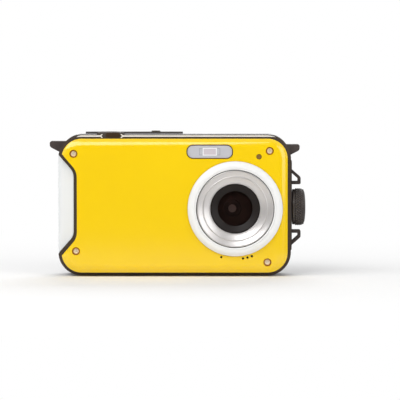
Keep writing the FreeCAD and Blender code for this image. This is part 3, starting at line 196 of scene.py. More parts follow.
HEAD_RADIUS = 1.19 * MILLIMETRE
HEAD_HEIGHT = 0.85 * MILLIMETRE
CROSS_LENGTH = 1.35 * MILLIMETRE
CROSS_WIDTH = 0.3 * MILLIMETRE
CROSS_DEPTH = 0.5 * MILLIMETRE
CROSS_TURNS = (35, 125)
SCREW_TURNS = (0.4, 1.1, -0.3, 0.9)


def plated_metal(name, base, worn, scale, metal=1.0):
    """Plated steel, bronze or brass: a soft metal shine, duller and darker where tools rub it."""
    made, tree, place = new_material(name)
    wear = add(tree, "ShaderNodeTexNoise", {"Vector": place, "Scale": scale, "Detail": 4.0})
    tone = mixed(tree, wear.outputs["Fac"], base, worn)
    rough = add(tree, "ShaderNodeMapRange", {"Value": wear.outputs["Fac"], "To Min": 0.22, "To Max": 0.42})
    shader = add(tree, "ShaderNodeBsdfPrincipled", {
        "Base Color": tone, "Metallic": metal, "Roughness": rough.outputs["Result"]})
    end_material(tree, shader)
    return made


def joined_mesh(name, bodies):
    """One mesh object from several bmesh pieces."""
    whole = bmesh.new()
    for body in bodies:
        part = bpy.data.meshes.new("part")
        body.to_mesh(part)
        whole.from_mesh(part)
        bpy.data.meshes.remove(part)
        body.free()
    mesh = bpy.data.meshes.new(name)
    whole.to_mesh(mesh)
    whole.free()
    made = bpy.data.objects.new(name, mesh)
    bpy.context.scene.collection.objects.link(made)
    return made


def millimetres(points):
    """The points of a profile, given in millimetres, in metres."""
    return [(radius * MILLIMETRE, along * MILLIMETRE) for radius, along in points]


def lathe(profile, steps, axis, centre=(0, 0, 0)):
    """A closed skin turned from (radius, along) points about X, Y or Z."""
    made = bmesh.new()
    rings = []
    for radius, along in profile:
        ring = []
        count = 1 if radius == 0 else steps
        for i in range(count):
            angle = 2 * math.pi * i / steps
            u, v = radius * math.cos(angle), radius * math.sin(angle)
            spot = {"X": (along, u, v), "Y": (u, along, v), "Z": (u, v, along)}[axis]
            ring.append(made.verts.new(Vector(spot) + Vector(centre)))
        rings.append(ring)
    for first, second in zip(rings, rings[1:]):
        for i in range(steps):
            j = (i + 1) % steps
            a, b = first[i % len(first)], first[j % len(first)]
            c, d = second[j % len(second)], second[i % len(second)]
            corners = list(dict.fromkeys((a, b, c, d)))
            if len(corners) > 2:
                made.faces.new(corners)
    bmesh.ops.recalc_face_normals(made, faces=made.faces)
    return made


def cross_head():
    """The head of a screw, its crown rounded and its cross recess cut in, facing minus Y."""
    rim = 0.22 * MILLIMETRE
    fall = 0.06 * MILLIMETRE
    head = joined_mesh("screw_head", [lathe([
        (0, 0), (HEAD_RADIUS * 0.55, 0), (HEAD_RADIUS - rim, fall), (HEAD_RADIUS - fall, rim * 0.6),
        (HEAD_RADIUS, rim * 1.2), (HEAD_RADIUS, HEAD_HEIGHT), (0, HEAD_HEIGHT)], steps=40, axis="Y")])
    bars = []
    for turn in CROSS_TURNS:
        bar = bmesh.new()
        bmesh.ops.create_cube(bar, size=1)
        bmesh.ops.scale(bar, vec=(CROSS_LENGTH, CROSS_DEPTH * 2, CROSS_WIDTH), verts=bar.verts)
        bmesh.ops.rotate(bar, verts=bar.verts, matrix=Matrix.Rotation(math.radians(turn), 3, "Y"))
        bars.append(joined_mesh("cross_bar", [bar]))
    for bar in bars:
        cut = head.modifiers.new("cross", "BOOLEAN")
        cut.object = bar
        cut.solver = "EXACT"
    mesh = bpy.data.meshes.new_from_object(head.evaluated_get(bpy.context.evaluated_depsgraph_get()))
    head.modifiers.clear()
    head.data = mesh
    for bar in bars:
        bpy.data.objects.remove(bar)
    return head


def islands(name):
    """The lowest and the highest corner of each separate solid of a CAD node, from the bottom up."""
    work = bmesh.new()
    work.from_mesh(frame["nodes"][name].data)
    bmesh.ops.remove_doubles(work, verts=work.verts, dist=SAME_POINT)
    left = set(work.verts)
    found = []
    while left:
        stack = [left.pop()]
        group = []
        while stack:
            vert = stack.pop()
            group.append(vert.co.copy())
            for edge in vert.link_edges:
                other = edge.other_vert(vert)
                if other in left:
                    left.discard(other)
                    stack.append(other)
        low = Vector([min(co[i] for co in group) for i in range(3)])
        high = Vector([max(co[i] for co in group) for i in range(3)])
        found.append((low, high))
    work.free()
    return sorted(found, key=lambda pair: (round(pair[0].z, 4), pair[0].x))


def scatter(name, template, points, turns, axis, material):
    """Sets a template on points with a node tree; each point holds its turn about one axis."""
    mesh = bpy.data.meshes.new(name)
    mesh.from_pydata(points, [], [])
    angles = mesh.attributes.new("turn", "FLOAT", "POINT")
    angles.data.foreach_set("value", turns)
    made = bpy.data.objects.new(name, mesh)
    bpy.context.scene.collection.objects.link(made)
    tree = bpy.data.node_groups.new(name + "_tree", "GeometryNodeTree")
    tree.interface.new_socket("Geometry", in_out="INPUT", socket_type="NodeSocketGeometry")
    size = tree.interface.new_socket("Size", in_out="INPUT", socket_type="NodeSocketFloat")
    tree.interface.new_socket("Geometry", in_out="OUTPUT", socket_type="NodeSocketGeometry")
    entry = tree.nodes.new("NodeGroupInput")
    shape = add(tree, "GeometryNodeObjectInfo", {"Object": template})
    turn = add(tree, "GeometryNodeInputNamedAttribute", {"Name": "turn"}, data_type="FLOAT")
    angle = add(tree, "ShaderNodeCombineXYZ", {axis: turn.outputs["Attribute"]})
    spread = add(tree, "GeometryNodeInstanceOnPoints", {
        "Points": entry.outputs["Geometry"], "Instance": shape.outputs["Geometry"],
        "Rotation": angle.outputs[0], "Scale": entry.outputs["Size"]})
    real = add(tree, "GeometryNodeRealizeInstances", {"Geometry": spread.outputs[0]})
    coat = add(tree, "GeometryNodeSetMaterial", {"Geometry": real.outputs[0], "Material": material})
    exit_node = tree.nodes.new("NodeGroupOutput")
    tree.links.new(coat.outputs[0], exit_node.inputs[0])
    run = made.modifiers.new("scatter", "NODES")
    run.node_group = tree
    run[size.identifier] = 1.0
    result = bpy.data.meshes.new_from_object(made.evaluated_get(bpy.context.evaluated_depsgraph_get()))
    made.modifiers.clear()
    made.data = result
    return made


screw_steel = plated_metal("screw_steel", "#fff6e4", "#f1e4cc", 1400.0, metal=0.2)
washer_bronze = plated_metal("washer_bronze", "#c98b45", "#a5692f", 1400.0, metal=0.6)
head_shape = cross_head()
washer_profile = [
    (1.2, 0.35), (1.22, 0.02), (1.4, -0.06), (1.58, 0.0), (1.66, 0.14), (1.66, 0.5), (1.2, 0.5), (1.2, 0.35)]
washer_shape = joined_mesh("washer", [lathe(millimetres(washer_profile), steps=48, axis="Y")])
for name, behind in (("front_screws", False), ("rear_screws", True)):
    points = []
    for low, high in islands(name):
        mouth = high.y if behind else low.y
        points.append(((low.x + high.x) / 2, mouth, (low.z + high.z) / 2))
    heads = scatter(name + "_heads", head_shape, points, SCREW_TURNS, "Y", screw_steel)
    washers = scatter(name + "_washers", washer_shape, points, SCREW_TURNS, "Y", washer_bronze)
    for piece in (heads, washers):
        if behind:
            mirror = points[0][1]
            for vert in piece.data.vertices:
                vert.co.y = 2 * mirror - vert.co.y
            piece.data.flip_normals()
        finish_mesh(piece, round_width=0.0)
        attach(piece, "root")
    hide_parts(name)
for template in (head_shape, washer_shape):
    bpy.data.objects.remove(template)


# Flash
# A milky clear pane sits in an oblong window of the cover, with a dark line round its edge, a white frame
# moulded round its middle and a bracket on each side. The dark line is partly the pane's edge and partly
# painted shade of the window's wall. Behind the pane are the fluted bars that spread the light, the trough
# and the quartz tube.

FLASH_ACROSS = 14.8 * MILLIMETRE
FLASH_UP = 52.5 * MILLIMETRE
PANE_FRONT = -12.1 * MILLIMETRE
PANE_BACK = -11.5 * MILLIMETRE
CORNER_STEPS = 8
FLUTE_PITCH = 0.5 * MILLIMETRE
FLUTE_RADIUS = 0.3 * FLUTE_PITCH
FLUTE_PLANE = PANE_BACK + 0.18 * MILLIMETRE
FLUTES_EACH_SIDE = 17
FULL_FLUTES_EACH_SIDE = 13
FLUTE_REACH = 2.45
FLUTE_SHORTENING = 0.28
FRAME_WIDE, FRAME_TALL, FRAME_RISE = 2.95, 1.6, 0.06
INNER_WIDE, INNER_TALL, DIFFUSER_RISE = 2.6, 1.25, 0.02
BRACKET_NEAR, BRACKET_FAR, BRACKET_TALL, BRACKET_BAR, BRACKET_RISE = 3.3, 4.4, 1.45, 0.25, 0.03
BAR_SINK = 0.1 * MILLIMETRE


def moulded_clear(name, tint, roughness, clear):
    """Clear moulded plastic: see-through with a light tint, a little hazy, and glossy in front."""
    made, tree, place = new_material(name)
    haze = add(tree, "ShaderNodeTexNoise", {"Vector": place, "Scale": 300.0, "Detail": 2.0})
    rough = add(tree, "ShaderNodeMapRange", {
        "Value": haze.outputs["Fac"], "To Min": roughness, "To Max": roughness + 0.06})
    shader = add(tree, "ShaderNodeBsdfPrincipled", {
        "Base Color": linear(tint), "Roughness": rough.outputs["Result"], "IOR": 1.49,
        "Transmission Weight": clear})
    end_material(tree, shader)
    return made


def bright_metal(name, colour, roughness):
    """Vapour-coated metal: an even mirror with the faintest cloud in it."""
    made, tree, place = new_material(name)
    cloud = add(tree, "ShaderNodeTexNoise", {"Vector": place, "Scale": 500.0, "Detail": 2.0})
    rough = add(tree, "ShaderNodeMapRange", {
        "Value": cloud.outputs["Fac"], "To Min": roughness, "To Max": roughness + 0.08})
    shader = add(tree, "ShaderNodeBsdfPrincipled", {
        "Base Color": linear(colour), "Metallic": 1.0, "Roughness": rough.outputs["Result"]})
    end_material(tree, shader)
    return made


def satin_plastic(name, colour, roughness, grain=2200.0, relief=0.08):
    """Moulded plastic: an even colour with a soft, wide shine and a very fine grain."""
    made, tree, place = new_material(name)
    skin = add(tree, "ShaderNodeTexNoise", {"Vector": place, "Scale": grain, "Detail": 3.0})
    bump = add(tree, "ShaderNodeBump", {
        "Height": skin.outputs["Fac"], "Strength": relief, "Distance": 0.00005})
    rough = add(tree, "ShaderNodeMapRange", {
        "Value": skin.outputs["Fac"], "To Min": roughness, "To Max": roughness + 0.1})
    shader = add(tree, "ShaderNodeBsdfPrincipled", {
        "Base Color": linear(colour), "Roughness": rough.outputs["Result"], "IOR": 1.5,
        "Normal": bump.outputs["Normal"]})
    end_material(tree, shader)
    return made


def placed(name, body, material, rides, nodes=(), round_width=0.0):
    """Sets a made shape in the scene: its edges rounded, its material on, riding on a body."""
    piece = joined_mesh(name, body if isinstance(body, list) else [body])
    finish_mesh(piece, round_width)
    piece.data.materials.append(material)
    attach(piece, rides)
    if nodes:
        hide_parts(*nodes)


def block(low, high):
    """A box between two corners, to be joined with other shapes."""
    made = bmesh.new()
    bmesh.ops.create_cube(made, size=1)
    size = Vector(high) - Vector(low)
    bmesh.ops.scale(made, vec=size, verts=made.verts)
    bmesh.ops.translate(made, vec=Vector(low) + size / 2, verts=made.verts)
    return made


def flash_bar(left, low, right, high, rise):
    """A flat bar moulded on the pane's face, in millimetres from its middle."""
    return block(
        (FLASH_ACROSS + left * MILLIMETRE, PANE_FRONT - rise * MILLIMETRE, FLASH_UP + low * MILLIMETRE),
        (FLASH_ACROSS + right * MILLIMETRE, PANE_FRONT + BAR_SINK, FLASH_UP + high * MILLIMETRE))


def rounded_line(half_wide, half_tall, radius, width, near, far):
    """A thin line that runs round an oblong pane, between two depths, all in millimetres."""
    made = bmesh.new()
    loops = []
    for inset, depth in ((0, far), (0, near), (width, near), (width, far)):
        loop = []
        for quarter, (side, way) in enumerate(((1, 1), (-1, 1), (-1, -1), (1, -1))):
            for step in range(CORNER_STEPS + 1):
                turn = math.radians(90 * (quarter + step / CORNER_STEPS))
                across = side * (half_wide - radius) + (radius - inset) * math.cos(turn)
                up = way * (half_tall - radius) + (radius - inset) * math.sin(turn)
                loop.append(made.verts.new((FLASH_ACROSS + across * MILLIMETRE, depth * MILLIMETRE,
                                            FLASH_UP + up * MILLIMETRE)))
        loops.append(loop)
    for first, second in zip(loops, loops[1:] + loops[:1]):
        for i in range(len(first)):
            j = (i + 1) % len(first)
            made.faces.new((first[i], first[j], second[j], second[i]))
    bmesh.ops.recalc_face_normals(made, faces=made.faces)
    return made


dressed("flash_window", moulded_clear("flash_pane", "#ececf2", 0.05, 0.4), round_width=0.0001)
flutes = []
for i in range(-FLUTES_EACH_SIDE, FLUTES_EACH_SIDE + 1):
    spot = FLASH_ACROSS + i * FLUTE_PITCH
    reach = (FLUTE_REACH - max(0, abs(i) - FULL_FLUTES_EACH_SIDE) * FLUTE_SHORTENING) * MILLIMETRE
    flutes.append(lathe([(0, -reach), (FLUTE_RADIUS, -reach), (FLUTE_RADIUS, reach), (0, reach)],
                        steps=10, axis="Z", centre=(spot, FLUTE_PLANE, FLASH_UP)))
placed("flash_flutes", flutes, moulded_clear("flute_plastic", "#fafafc", 0.35, 0.0), "root")
dressed("flash_reflector", bright_metal("flash_mirror", "#e6e6e8", 0.28))
dressed("flash_tube", moulded_clear("quartz_tube", "#efe9f2", 0.08, 0.8))
# The dark line round the pane: partly its edge, partly painted shade from the window's wall above it.
placed("flash_edge", rounded_line(half_wide=9.74, half_tall=2.94, radius=2.69, width=0.34, near=-12.16,
                                  far=-12.02), satin_plastic("pane_edge_and_painted_shade", "#5c4120", 0.5), "root")
placed("flash_frame", [
    flash_bar(-FRAME_WIDE, -FRAME_TALL, FRAME_WIDE, -INNER_TALL, FRAME_RISE),
    flash_bar(-FRAME_WIDE, INNER_TALL, FRAME_WIDE, FRAME_TALL, FRAME_RISE),
    flash_bar(-FRAME_WIDE, -INNER_TALL, -INNER_WIDE, INNER_TALL, FRAME_RISE),
    flash_bar(INNER_WIDE, -INNER_TALL, FRAME_WIDE, INNER_TALL, FRAME_RISE)],
    satin_plastic("flash_frame_plastic", "#ececee", 0.4), "root")
placed("flash_diffuser", flash_bar(-INNER_WIDE, -INNER_TALL, INNER_WIDE, INNER_TALL, DIFFUSER_RISE),
       satin_plastic("diffuser_plastic", "#c9bfc6", 0.5), "root")
brackets = []
for side in (-1, 1):
    inner, outer = sorted((side * BRACKET_NEAR, side * BRACKET_FAR))
    upright = sorted((side * (BRACKET_FAR - BRACKET_BAR), side * BRACKET_FAR))
    rung = BRACKET_TALL - BRACKET_BAR
    brackets.append(flash_bar(upright[0], -rung, upright[1], rung, BRACKET_RISE))
    brackets.append(flash_bar(inner, -BRACKET_TALL, outer, -rung, BRACKET_RISE))
    brackets.append(flash_bar(inner, rung, outer, BRACKET_TALL, BRACKET_RISE))
placed("flash_brackets", brackets, satin_plastic("bracket_grey", "#96969c", 0.5), "root")


# Lens port
# A satin white ring with a bevelled rim and a groove near its inner edge, a silver cone turned in two bands
# with a bright bead between them, a dark bezel and a coated window. The small lens sits behind it, left of
# the middle.

LENS_ACROSS = 25.5 * MILLIMETRE
LENS_UP = 28.5 * MILLIMETRE
MODULE_OFFSET = 1.2 * MILLIMETRE
LENS_AXIS = (LENS_ACROSS, 0, LENS_UP)
MODULE_AXIS = (LENS_ACROSS - MODULE_OFFSET, 0, LENS_UP)
LENS_STEPS = 128


def turned_metal(name, bright, dull, pitch, roughness):
    """Turned aluminium: fine tool lines run round the lens axis and stretch the shine across them."""
    made, tree, place = new_material(name)
    centred = add(tree, "ShaderNodeVectorMath", {0: place, 1: LENS_AXIS}, operation="SUBTRACT")
    flat = add(tree, "ShaderNodeVectorMath", {0: centred.outputs[0], 1: (1, 0, 1)}, operation="MULTIPLY")
    radius = add(tree, "ShaderNodeVectorMath", {0: flat.outputs[0]}, operation="LENGTH")
    turns = add(tree, "ShaderNodeMath", {0: radius.outputs["Value"], 1: 2 * math.pi / pitch},
                operation="MULTIPLY")
    line = add(tree, "ShaderNodeMath", {0: turns.outputs[0]}, operation="SINE")
    share = add(tree, "ShaderNodeMapRange", {"Value": line.outputs[0], "From Min": -1.0, "From Max": 1.0})
    tone = mixed(tree, share.outputs["Result"], bright, dull)
    bump = add(tree, "ShaderNodeBump", {
        "Height": line.outputs[0], "Strength": 0.1, "Distance": 0.00003})
    shader = add(tree, "ShaderNodeBsdfPrincipled", {
        "Base Color": tone, "Metallic": 0.75, "Roughness": roughness, "Normal": bump.outputs["Normal"]})
    end_material(tree, shader)
    return made


def dark_gloss(name, colour, roughness):
    """Dark plastic or glass: a deep colour under one weak reflection that faint smears break up."""
    made, tree, place = new_material(name)
    smear = add(tree, "ShaderNodeTexNoise", {"Vector": place, "Scale": 160.0, "Detail": 3.0})
    rough = add(tree, "ShaderNodeMapRange", {
        "Value": smear.outputs["Fac"], "To Min": roughness, "To Max": roughness + 0.1})
    shader = add(tree, "ShaderNodeBsdfPrincipled", {
        "Base Color": linear(colour), "Roughness": rough.outputs["Result"], "IOR": 1.35})
    end_material(tree, shader)
    return made


def coated_glass(name, thin, thick):
    """Coated glass: clear, with a tint that drifts a little as its coating gets thicker."""
    made, tree, place = new_material(name)
    film = add(tree, "ShaderNodeTexNoise", {"Vector": place, "Scale": 60.0, "Detail": 1.0})
    colour = mixed(tree, film.outputs["Fac"], thin, thick)
    shader = add(tree, "ShaderNodeBsdfPrincipled", {
        "Base Color": colour, "Roughness": 0.0, "IOR": 1.2, "Transmission Weight": 1.0})
    end_material(tree, shader)
    return made


ring_profile = [
    (16.4, -11.5), (20.0, -11.5), (20.0, -13.2), (19.92, -13.45), (18.85, -14.2), (18.6, -14.33),
    (18.2, -14.48), (17.6, -14.58), (17.36, -14.59), (17.3, -14.4), (17.14, -14.4), (17.08, -14.59),
    (16.75, -14.54), (16.58, -14.44), (16.5, -14.25), (16.4, -13.9), (16.4, -11.5)]
placed("lens_ring_look", lathe(millimetres(ring_profile), LENS_STEPS, "Y", LENS_AXIS),
       satin_plastic("white_ring_plastic", "#f0f0ef", 0.3), "root", ["lens_ring"])

cone_profile = [
    (16.28, -11.5), (16.28, -13.9), (16.08, -14.22), (15.8, -14.3), (15.62, -14.22), (15.55, -14.0),
    (13.75, -13.3), (13.62, -13.44), (13.4, -13.48), (13.2, -13.38), (13.1, -13.12), (11.05, -12.36),
    (10.92, -12.42), (10.75, -12.44), (10.6, -12.4), (10.5, -12.25), (10.5, -10.1), (14.9, -10.1),
    (14.9, -11.5), (16.28, -11.5)]
placed("lens_cone_look", lathe(millimetres(cone_profile), LENS_STEPS, "Y", LENS_AXIS),
       turned_metal("turned_aluminium", "#e9e6e5", "#d9d5d3", 0.0003, 0.36), "root", ["lens_cone"])

# A thin dark ring where the white ring meets the cone: painted shade of the gap between them, in the seals'
# black.
gap_shade_profile = [
    (16.3, -13.85), (16.26, -14.1), (16.3, -14.17), (16.38, -14.17), (16.42, -14.1), (16.38, -13.85),
    (16.3, -13.85)]
seal_rubber = satin_plastic("seal_rubber", "#1a1918", 0.55, grain=1500.0)
placed("lens_joint", lathe(millimetres(gap_shade_profile), LENS_STEPS, "Y", LENS_AXIS), seal_rubber, "root")

bezel_profile = [
    (7.3, -10.6), (7.3, -10.85), (7.42, -10.98), (9.7, -12.0), (10.05, -12.13), (10.3, -12.12), (10.4, -12.0),
    (10.4, -10.1), (13.5, -10.1), (13.5, -8.8), (8.85, -8.8), (8.85, -10.6), (7.3, -10.6)]
placed("lens_bezel_look", lathe(millimetres(bezel_profile), LENS_STEPS, "Y", LENS_AXIS),
       dark_gloss("bezel_black", "#1b1412", 0.42), "root", ["lens_bezel"])
dressed("lens_window", coated_glass("window_glass", "#e4d4cf", "#ecdfda"), round_width=0.0001)

barrel_profile = [
    (1.7, -9.1), (2.1, -9.08), (2.9, -8.85), (3.45, -9.02), (3.7, -9.0), (3.75, -8.9), (3.75, -8.2),
    (2.15, -8.2), (2.15, -8.5), (1.7, -8.5), (1.7, -9.1)]
placed("lens_barrel_look", lathe(millimetres(barrel_profile), steps=96, axis="Y", centre=MODULE_AXIS),
       dark_gloss("barrel_black", "#2c1e1a", 0.45), "root", ["lens_barrel"])
dome_profile = [(0, -8.6), (0.6, -8.59), (1.1, -8.565), (1.65, -8.52), (2.1, -8.5), (2.1, -8.2), (0, -8.2)]
placed("lens_elements_look", lathe(millimetres(dome_profile), steps=64, axis="Y", centre=MODULE_AXIS),
       dark_gloss("element_coating", "#7f7471", 0.3), "root", ["lens_elements"])
dressed("lens_holder", dark_gloss("holder_black", "#35231d", 0.6), round_width=0.0)
dressed("image_sensor", dark_gloss("sensor_glass", "#20242c", 0.1), round_width=0.0)
dressed("lens_seal", seal_rubber, round_width=0.0)


# Small holes of the front
# A smoked timer lamp beside the upper screw, a microphone behind one hole and a speaker behind three.

dressed("timer_lamp", satin_plastic("smoked_lens", "#8a6a34", 0.22), round_width=0.0001)
felt_black = satin_plastic("felt_black", "#100e0d", 0.85, grain=4000.0, relief=0.4)
dressed("microphone", felt_black)
dressed("speaker", felt_black)


# Housing and rear cover
# Dark ABS with a fine spark-eroded grain. The housing is the frame that both covers close, and its edges
# show as a thin dark line all round the yellow plate.


def grained_abs(name, colour, worn, grain=2600.0):
    """Spark-eroded ABS: a dull dark skin whose fine grain breaks up the light, smoother where it is held."""
    made, tree, place = new_material(name)
    pits = add(tree, "ShaderNodeTexVoronoi", {"Vector": place, "Scale": grain})
    wear = add(tree, "ShaderNodeTexNoise", {"Vector": place, "Scale": 35.0, "Detail": 3.0})
    tone = mixed(tree, wear.outputs["Fac"], colour, worn)
    bump = add(tree, "ShaderNodeBump", {
        "Height": pits.outputs["Distance"], "Strength": 0.22, "Distance": 0.00006})
    rough = add(tree, "ShaderNodeMapRange", {"Value": wear.outputs["Fac"], "To Min": 0.62, "To Max": 0.75})
    shader = add(tree, "ShaderNodeBsdfPrincipled", {
        "Base Color": tone, "Roughness": rough.outputs["Result"], "IOR": 1.5,
        "Specular IOR Level": 0.2, "Normal": bump.outputs["Normal"]})
    end_material(tree, shader)
    return made


housing_skin = grained_abs("housing_abs", "#443c39", "#4b4340")
dressed("mid_housing", housing_skin)
dressed("rear_cover", grained_abs("rear_cover_abs", "#383433", "#403b39"), round_width=0.0002)
dressed("front_gasket", seal_rubber, round_width=0.0)
dressed("rear_gasket", seal_rubber, round_width=0.0)


# Side grip
# A white soft-touch insert fills the scoop. Its outer face carries rows of small raised pips, so that a wet
# thumb doesn't slip.

GRIP_FACE = -49.3 * MILLIMETRE
GRIP_MIDDLE = 30.5 * MILLIMETRE
PIP_RADIUS = 0.5 * MILLIMETRE
PIP_START = 1.4 * MILLIMETRE
PIP_PITCH = 1.9 * MILLIMETRE
PIP_ROW_PITCH = 0.87 * PIP_PITCH
PIP_ROWS = 22
PIP_COLUMNS = 3

grip_rubber = satin_plastic("grip_rubber", "#eceeee", 0.5, grain=3200.0, relief=0.15)
dressed("side_grip", grip_rubber, round_width=0.0003, segments=3)
pip = joined_mesh("pip", [lathe([
    (0, -0.5 * PIP_RADIUS), (0.5 * PIP_RADIUS, -0.42 * PIP_RADIUS), (0.85 * PIP_RADIUS, -0.2 * PIP_RADIUS),
    (PIP_RADIUS, 0.1 * PIP_RADIUS), (0, 0.1 * PIP_RADIUS)], steps=20, axis="X")])
points = []
for row in range(-PIP_ROWS // 2, PIP_ROWS // 2):
    for column in range(PIP_COLUMNS):
        depth = PIP_START + (column + 0.5 * (row % 2)) * PIP_PITCH
        points.append((GRIP_FACE, depth, GRIP_MIDDLE + row * PIP_ROW_PITCH))
pips = scatter("grip_pips", pip, points, [0.0] * len(points), "X", grip_rubber)
bpy.data.objects.remove(pip)
pips.data.set_sharp_from_angle(angle=SHARP_ABOVE)
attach(pips, "root")


# Top trim
# A silver strip lies in a channel along the top edge, between two thin dark lips. It stops at each side of
# the shutter collar, where a short silver band and a chevron close it. Outlines are in millimetres.

TRIM_FACE = -7.5
COLLAR_FACE = -7.4
TRIM_LOW, TRIM_HIGH = 58.6, 59.3
CHEVRON_RISE, BAND_RISE, LIP_RISE = 0.14, 0.12, 0.06
TRIM_SINK, LIP_SINK = 0.3, 0.35
CHEVRONS = ((-30.6, -1), (-22.48, 1))
CHEVRON_CORNERS = ((-0.35, 59.7), (0.25, 59.7), (0.95, 59.0), (0.25, 58.2), (-0.35, 58.2), (0.3, 59.0))
BANDS = ((-33.3, -31.2), (-21.8, -20.9))
LIP_EDGES = [
    [(-41.5, 58.55), (-41.5, 59.34), (-40.7, 59.55), (-40.0, 59.66), (-31.6, 59.66), (-31.4, 59.28),
     (-39.4, 59.26), (-40.5, 59.05)],
    [(-41.5, 58.26), (-41.5, 58.5), (-40.4, 58.62), (-31.4, 58.62), (-31.2, 58.26)],
    [(-21.7, 59.28), (-21.5, 59.66), (39.2, 59.66), (40.6, 59.55), (42.0, 59.26), (42.72, 59.04),
     (42.72, 58.55), (42.0, 58.8), (40.6, 59.1), (39.2, 59.26)],
    [(-21.9, 58.26), (-21.7, 58.62), (41.6, 58.62), (42.72, 58.48), (42.72, 58.26)],
]


def prism(corners, near, far):
    """A plate with these corners across and up, between two depths, all in millimetres."""
    made = bmesh.new()
    rings = []
    for depth in (near, far):
        rings.append([made.verts.new(Vector((x, depth, z)) * MILLIMETRE) for x, z in corners])
    for i in range(len(corners)):
        j = (i + 1) % len(corners)
        made.faces.new((rings[0][i], rings[0][j], rings[1][j], rings[1][i]))
    made.faces.new(rings[1])
    made.faces.new(reversed(rings[0]))
    bmesh.ops.recalc_face_normals(made, faces=made.faces)
    return made


trim_silver = satin_plastic("trim_silver", "#f3f4f8", 0.28)
dressed("top_trim", trim_silver, round_width=0.0001)
ends = []
for middle, side in CHEVRONS:
    chevron = [(side * x + middle, z) for x, z in CHEVRON_CORNERS]
    ends.append(prism(chevron, COLLAR_FACE - CHEVRON_RISE, COLLAR_FACE + TRIM_SINK))
for left, right in BANDS:
    band = [(left, TRIM_LOW), (right, TRIM_LOW), (right, TRIM_HIGH), (left, TRIM_HIGH)]
    ends.append(prism(band, COLLAR_FACE - BAND_RISE, COLLAR_FACE + TRIM_SINK))
placed("trim_chevrons", ends, trim_silver, "root", round_width=0.00004)
placed("trim_lips", [prism(corners, TRIM_FACE - LIP_RISE, TRIM_FACE + LIP_SINK) for corners in LIP_EDGES],
       housing_skin, "root")


# Top panel and its buttons
# A dark raised strip with the collar of the shutter button, the brown lacquered shutter cap, an insert of
# the same lacquer in the collar's front, and the round power button.

INSERT_RISE, INSERT_SINK = 0.08, 0.2
INSERT_CORNERS = [(-28.7, 58.35), (-23.4, 58.35), (-22.9, 59.0), (-23.4, 60.3), (-28.7, 60.3), (-29.2, 59.0)]


def lacquer(name, colour, roughness):
    """Lacquered plastic: a deep colour under a clear glossy coat."""
    made, tree, place = new_material(name)
    depth = add(tree, "ShaderNodeTexNoise", {"Vector": place, "Scale": 220.0, "Detail": 2.0})
    rough = add(tree, "ShaderNodeMapRange", {
        "Value": depth.outputs["Fac"], "To Min": roughness, "To Max": roughness + 0.12})
    shader = add(tree, "ShaderNodeBsdfPrincipled", {
        "Base Color": linear(colour), "Roughness": rough.outputs["Result"], "IOR": 1.5,
        "Coat Weight": 0.5, "Coat Roughness": 0.08})
    end_material(tree, shader)
    return made


dressed("top_panel", grained_abs("top_panel_abs", "#4a4543", "#524d4c", grain=3000.0), round_width=0.0002)
button_skin = lacquer("button_lacquer", "#3b2815", 0.35)
dressed("shutter_button", button_skin, round_width=0.0002)
dressed("power_button", button_skin, round_width=0.0002)
placed("collar_insert", prism(INSERT_CORNERS, COLLAR_FACE - INSERT_RISE, COLLAR_FACE + INSERT_SINK),
       button_skin, "root", round_width=0.00004)
dressed("button_seals", seal_rubber, round_width=0.0)
dressed("top_switches", satin_plastic("switch_body", "#c9c7c2", 0.45), round_width=0.0)


# Strap lugs
# Two blades on the ends of the housing, each with an upright hole for a wrist cord.

lug_skin = grained_abs("lug_abs", "#463e3c", "#4e4643")
dressed("strap_lug_left", lug_skin, round_width=0.0002)
dressed("strap_lug_right", lug_skin, round_width=0.0002)


# Battery door
# The hinged door in the right end, with its guard loops, its rubber seal and the pin that it turns on.

dressed("battery_door", grained_abs("door_abs", "#3f3836", "#48403d"), round_width=0.0002)
dressed("door_seal", seal_rubber, round_width=0.0)
pin_steel = plated_metal("pin_steel", "#cfcdc9", "#b4b1ac", 900.0)
dressed("hinge_pin", pin_steel, round_width=0.0)


# Lock knob
# A round knob with a smooth collar and a domed end. Its side is knurled: rows of small square teeth, set
# round the knob on points by a node tree, in five staggered rows.

KNOB_UP = 28.7 * MILLIMETRE
KNOB_BASE = 49.8 * MILLIMETRE
KNOB_END = 55.4 * MILLIMETRE
KNOB_RADIUS = 7.85 * MILLIMETRE
CROWN_LENGTH = 2.1 * MILLIMETRE
CROWN_SLOPE = 0.42
TOOTH_ROWS = 5
TEETH_ROUND = 44
FIRST_ROW = 1.55 * MILLIMETRE
ROW_PITCH = 0.72 * MILLIMETRE
TOOTH_BASE = 0.36 * MILLIMETRE
TOOTH_TOP = 0.22 * MILLIMETRE
TOOTH_HEIGHT = 0.22 * MILLIMETRE
TOOTH_DEPTH = 0.24 * MILLIMETRE


def tooth_shape():
    """One square tooth with sloped sides, standing on the origin along Z."""
    made = bmesh.new()
    rings = []
    for half, lift in ((TOOTH_BASE, -TOOTH_HEIGHT), (TOOTH_BASE, 0.2 * TOOTH_HEIGHT),
                       (TOOTH_TOP, TOOTH_HEIGHT)):
        rings.append([made.verts.new((x * half, y * half, lift))
                      for x, y in ((-1, -1), (1, -1), (1, 1), (-1, 1))])
    for low, high in zip(rings, rings[1:]):
        for i in range(4):
            j = (i + 1) % 4
            made.faces.new((low[i], low[j], high[j], high[i]))
    made.faces.new(rings[-1])
    made.faces.new(reversed(rings[0]))
    return joined_mesh("tooth", [made])


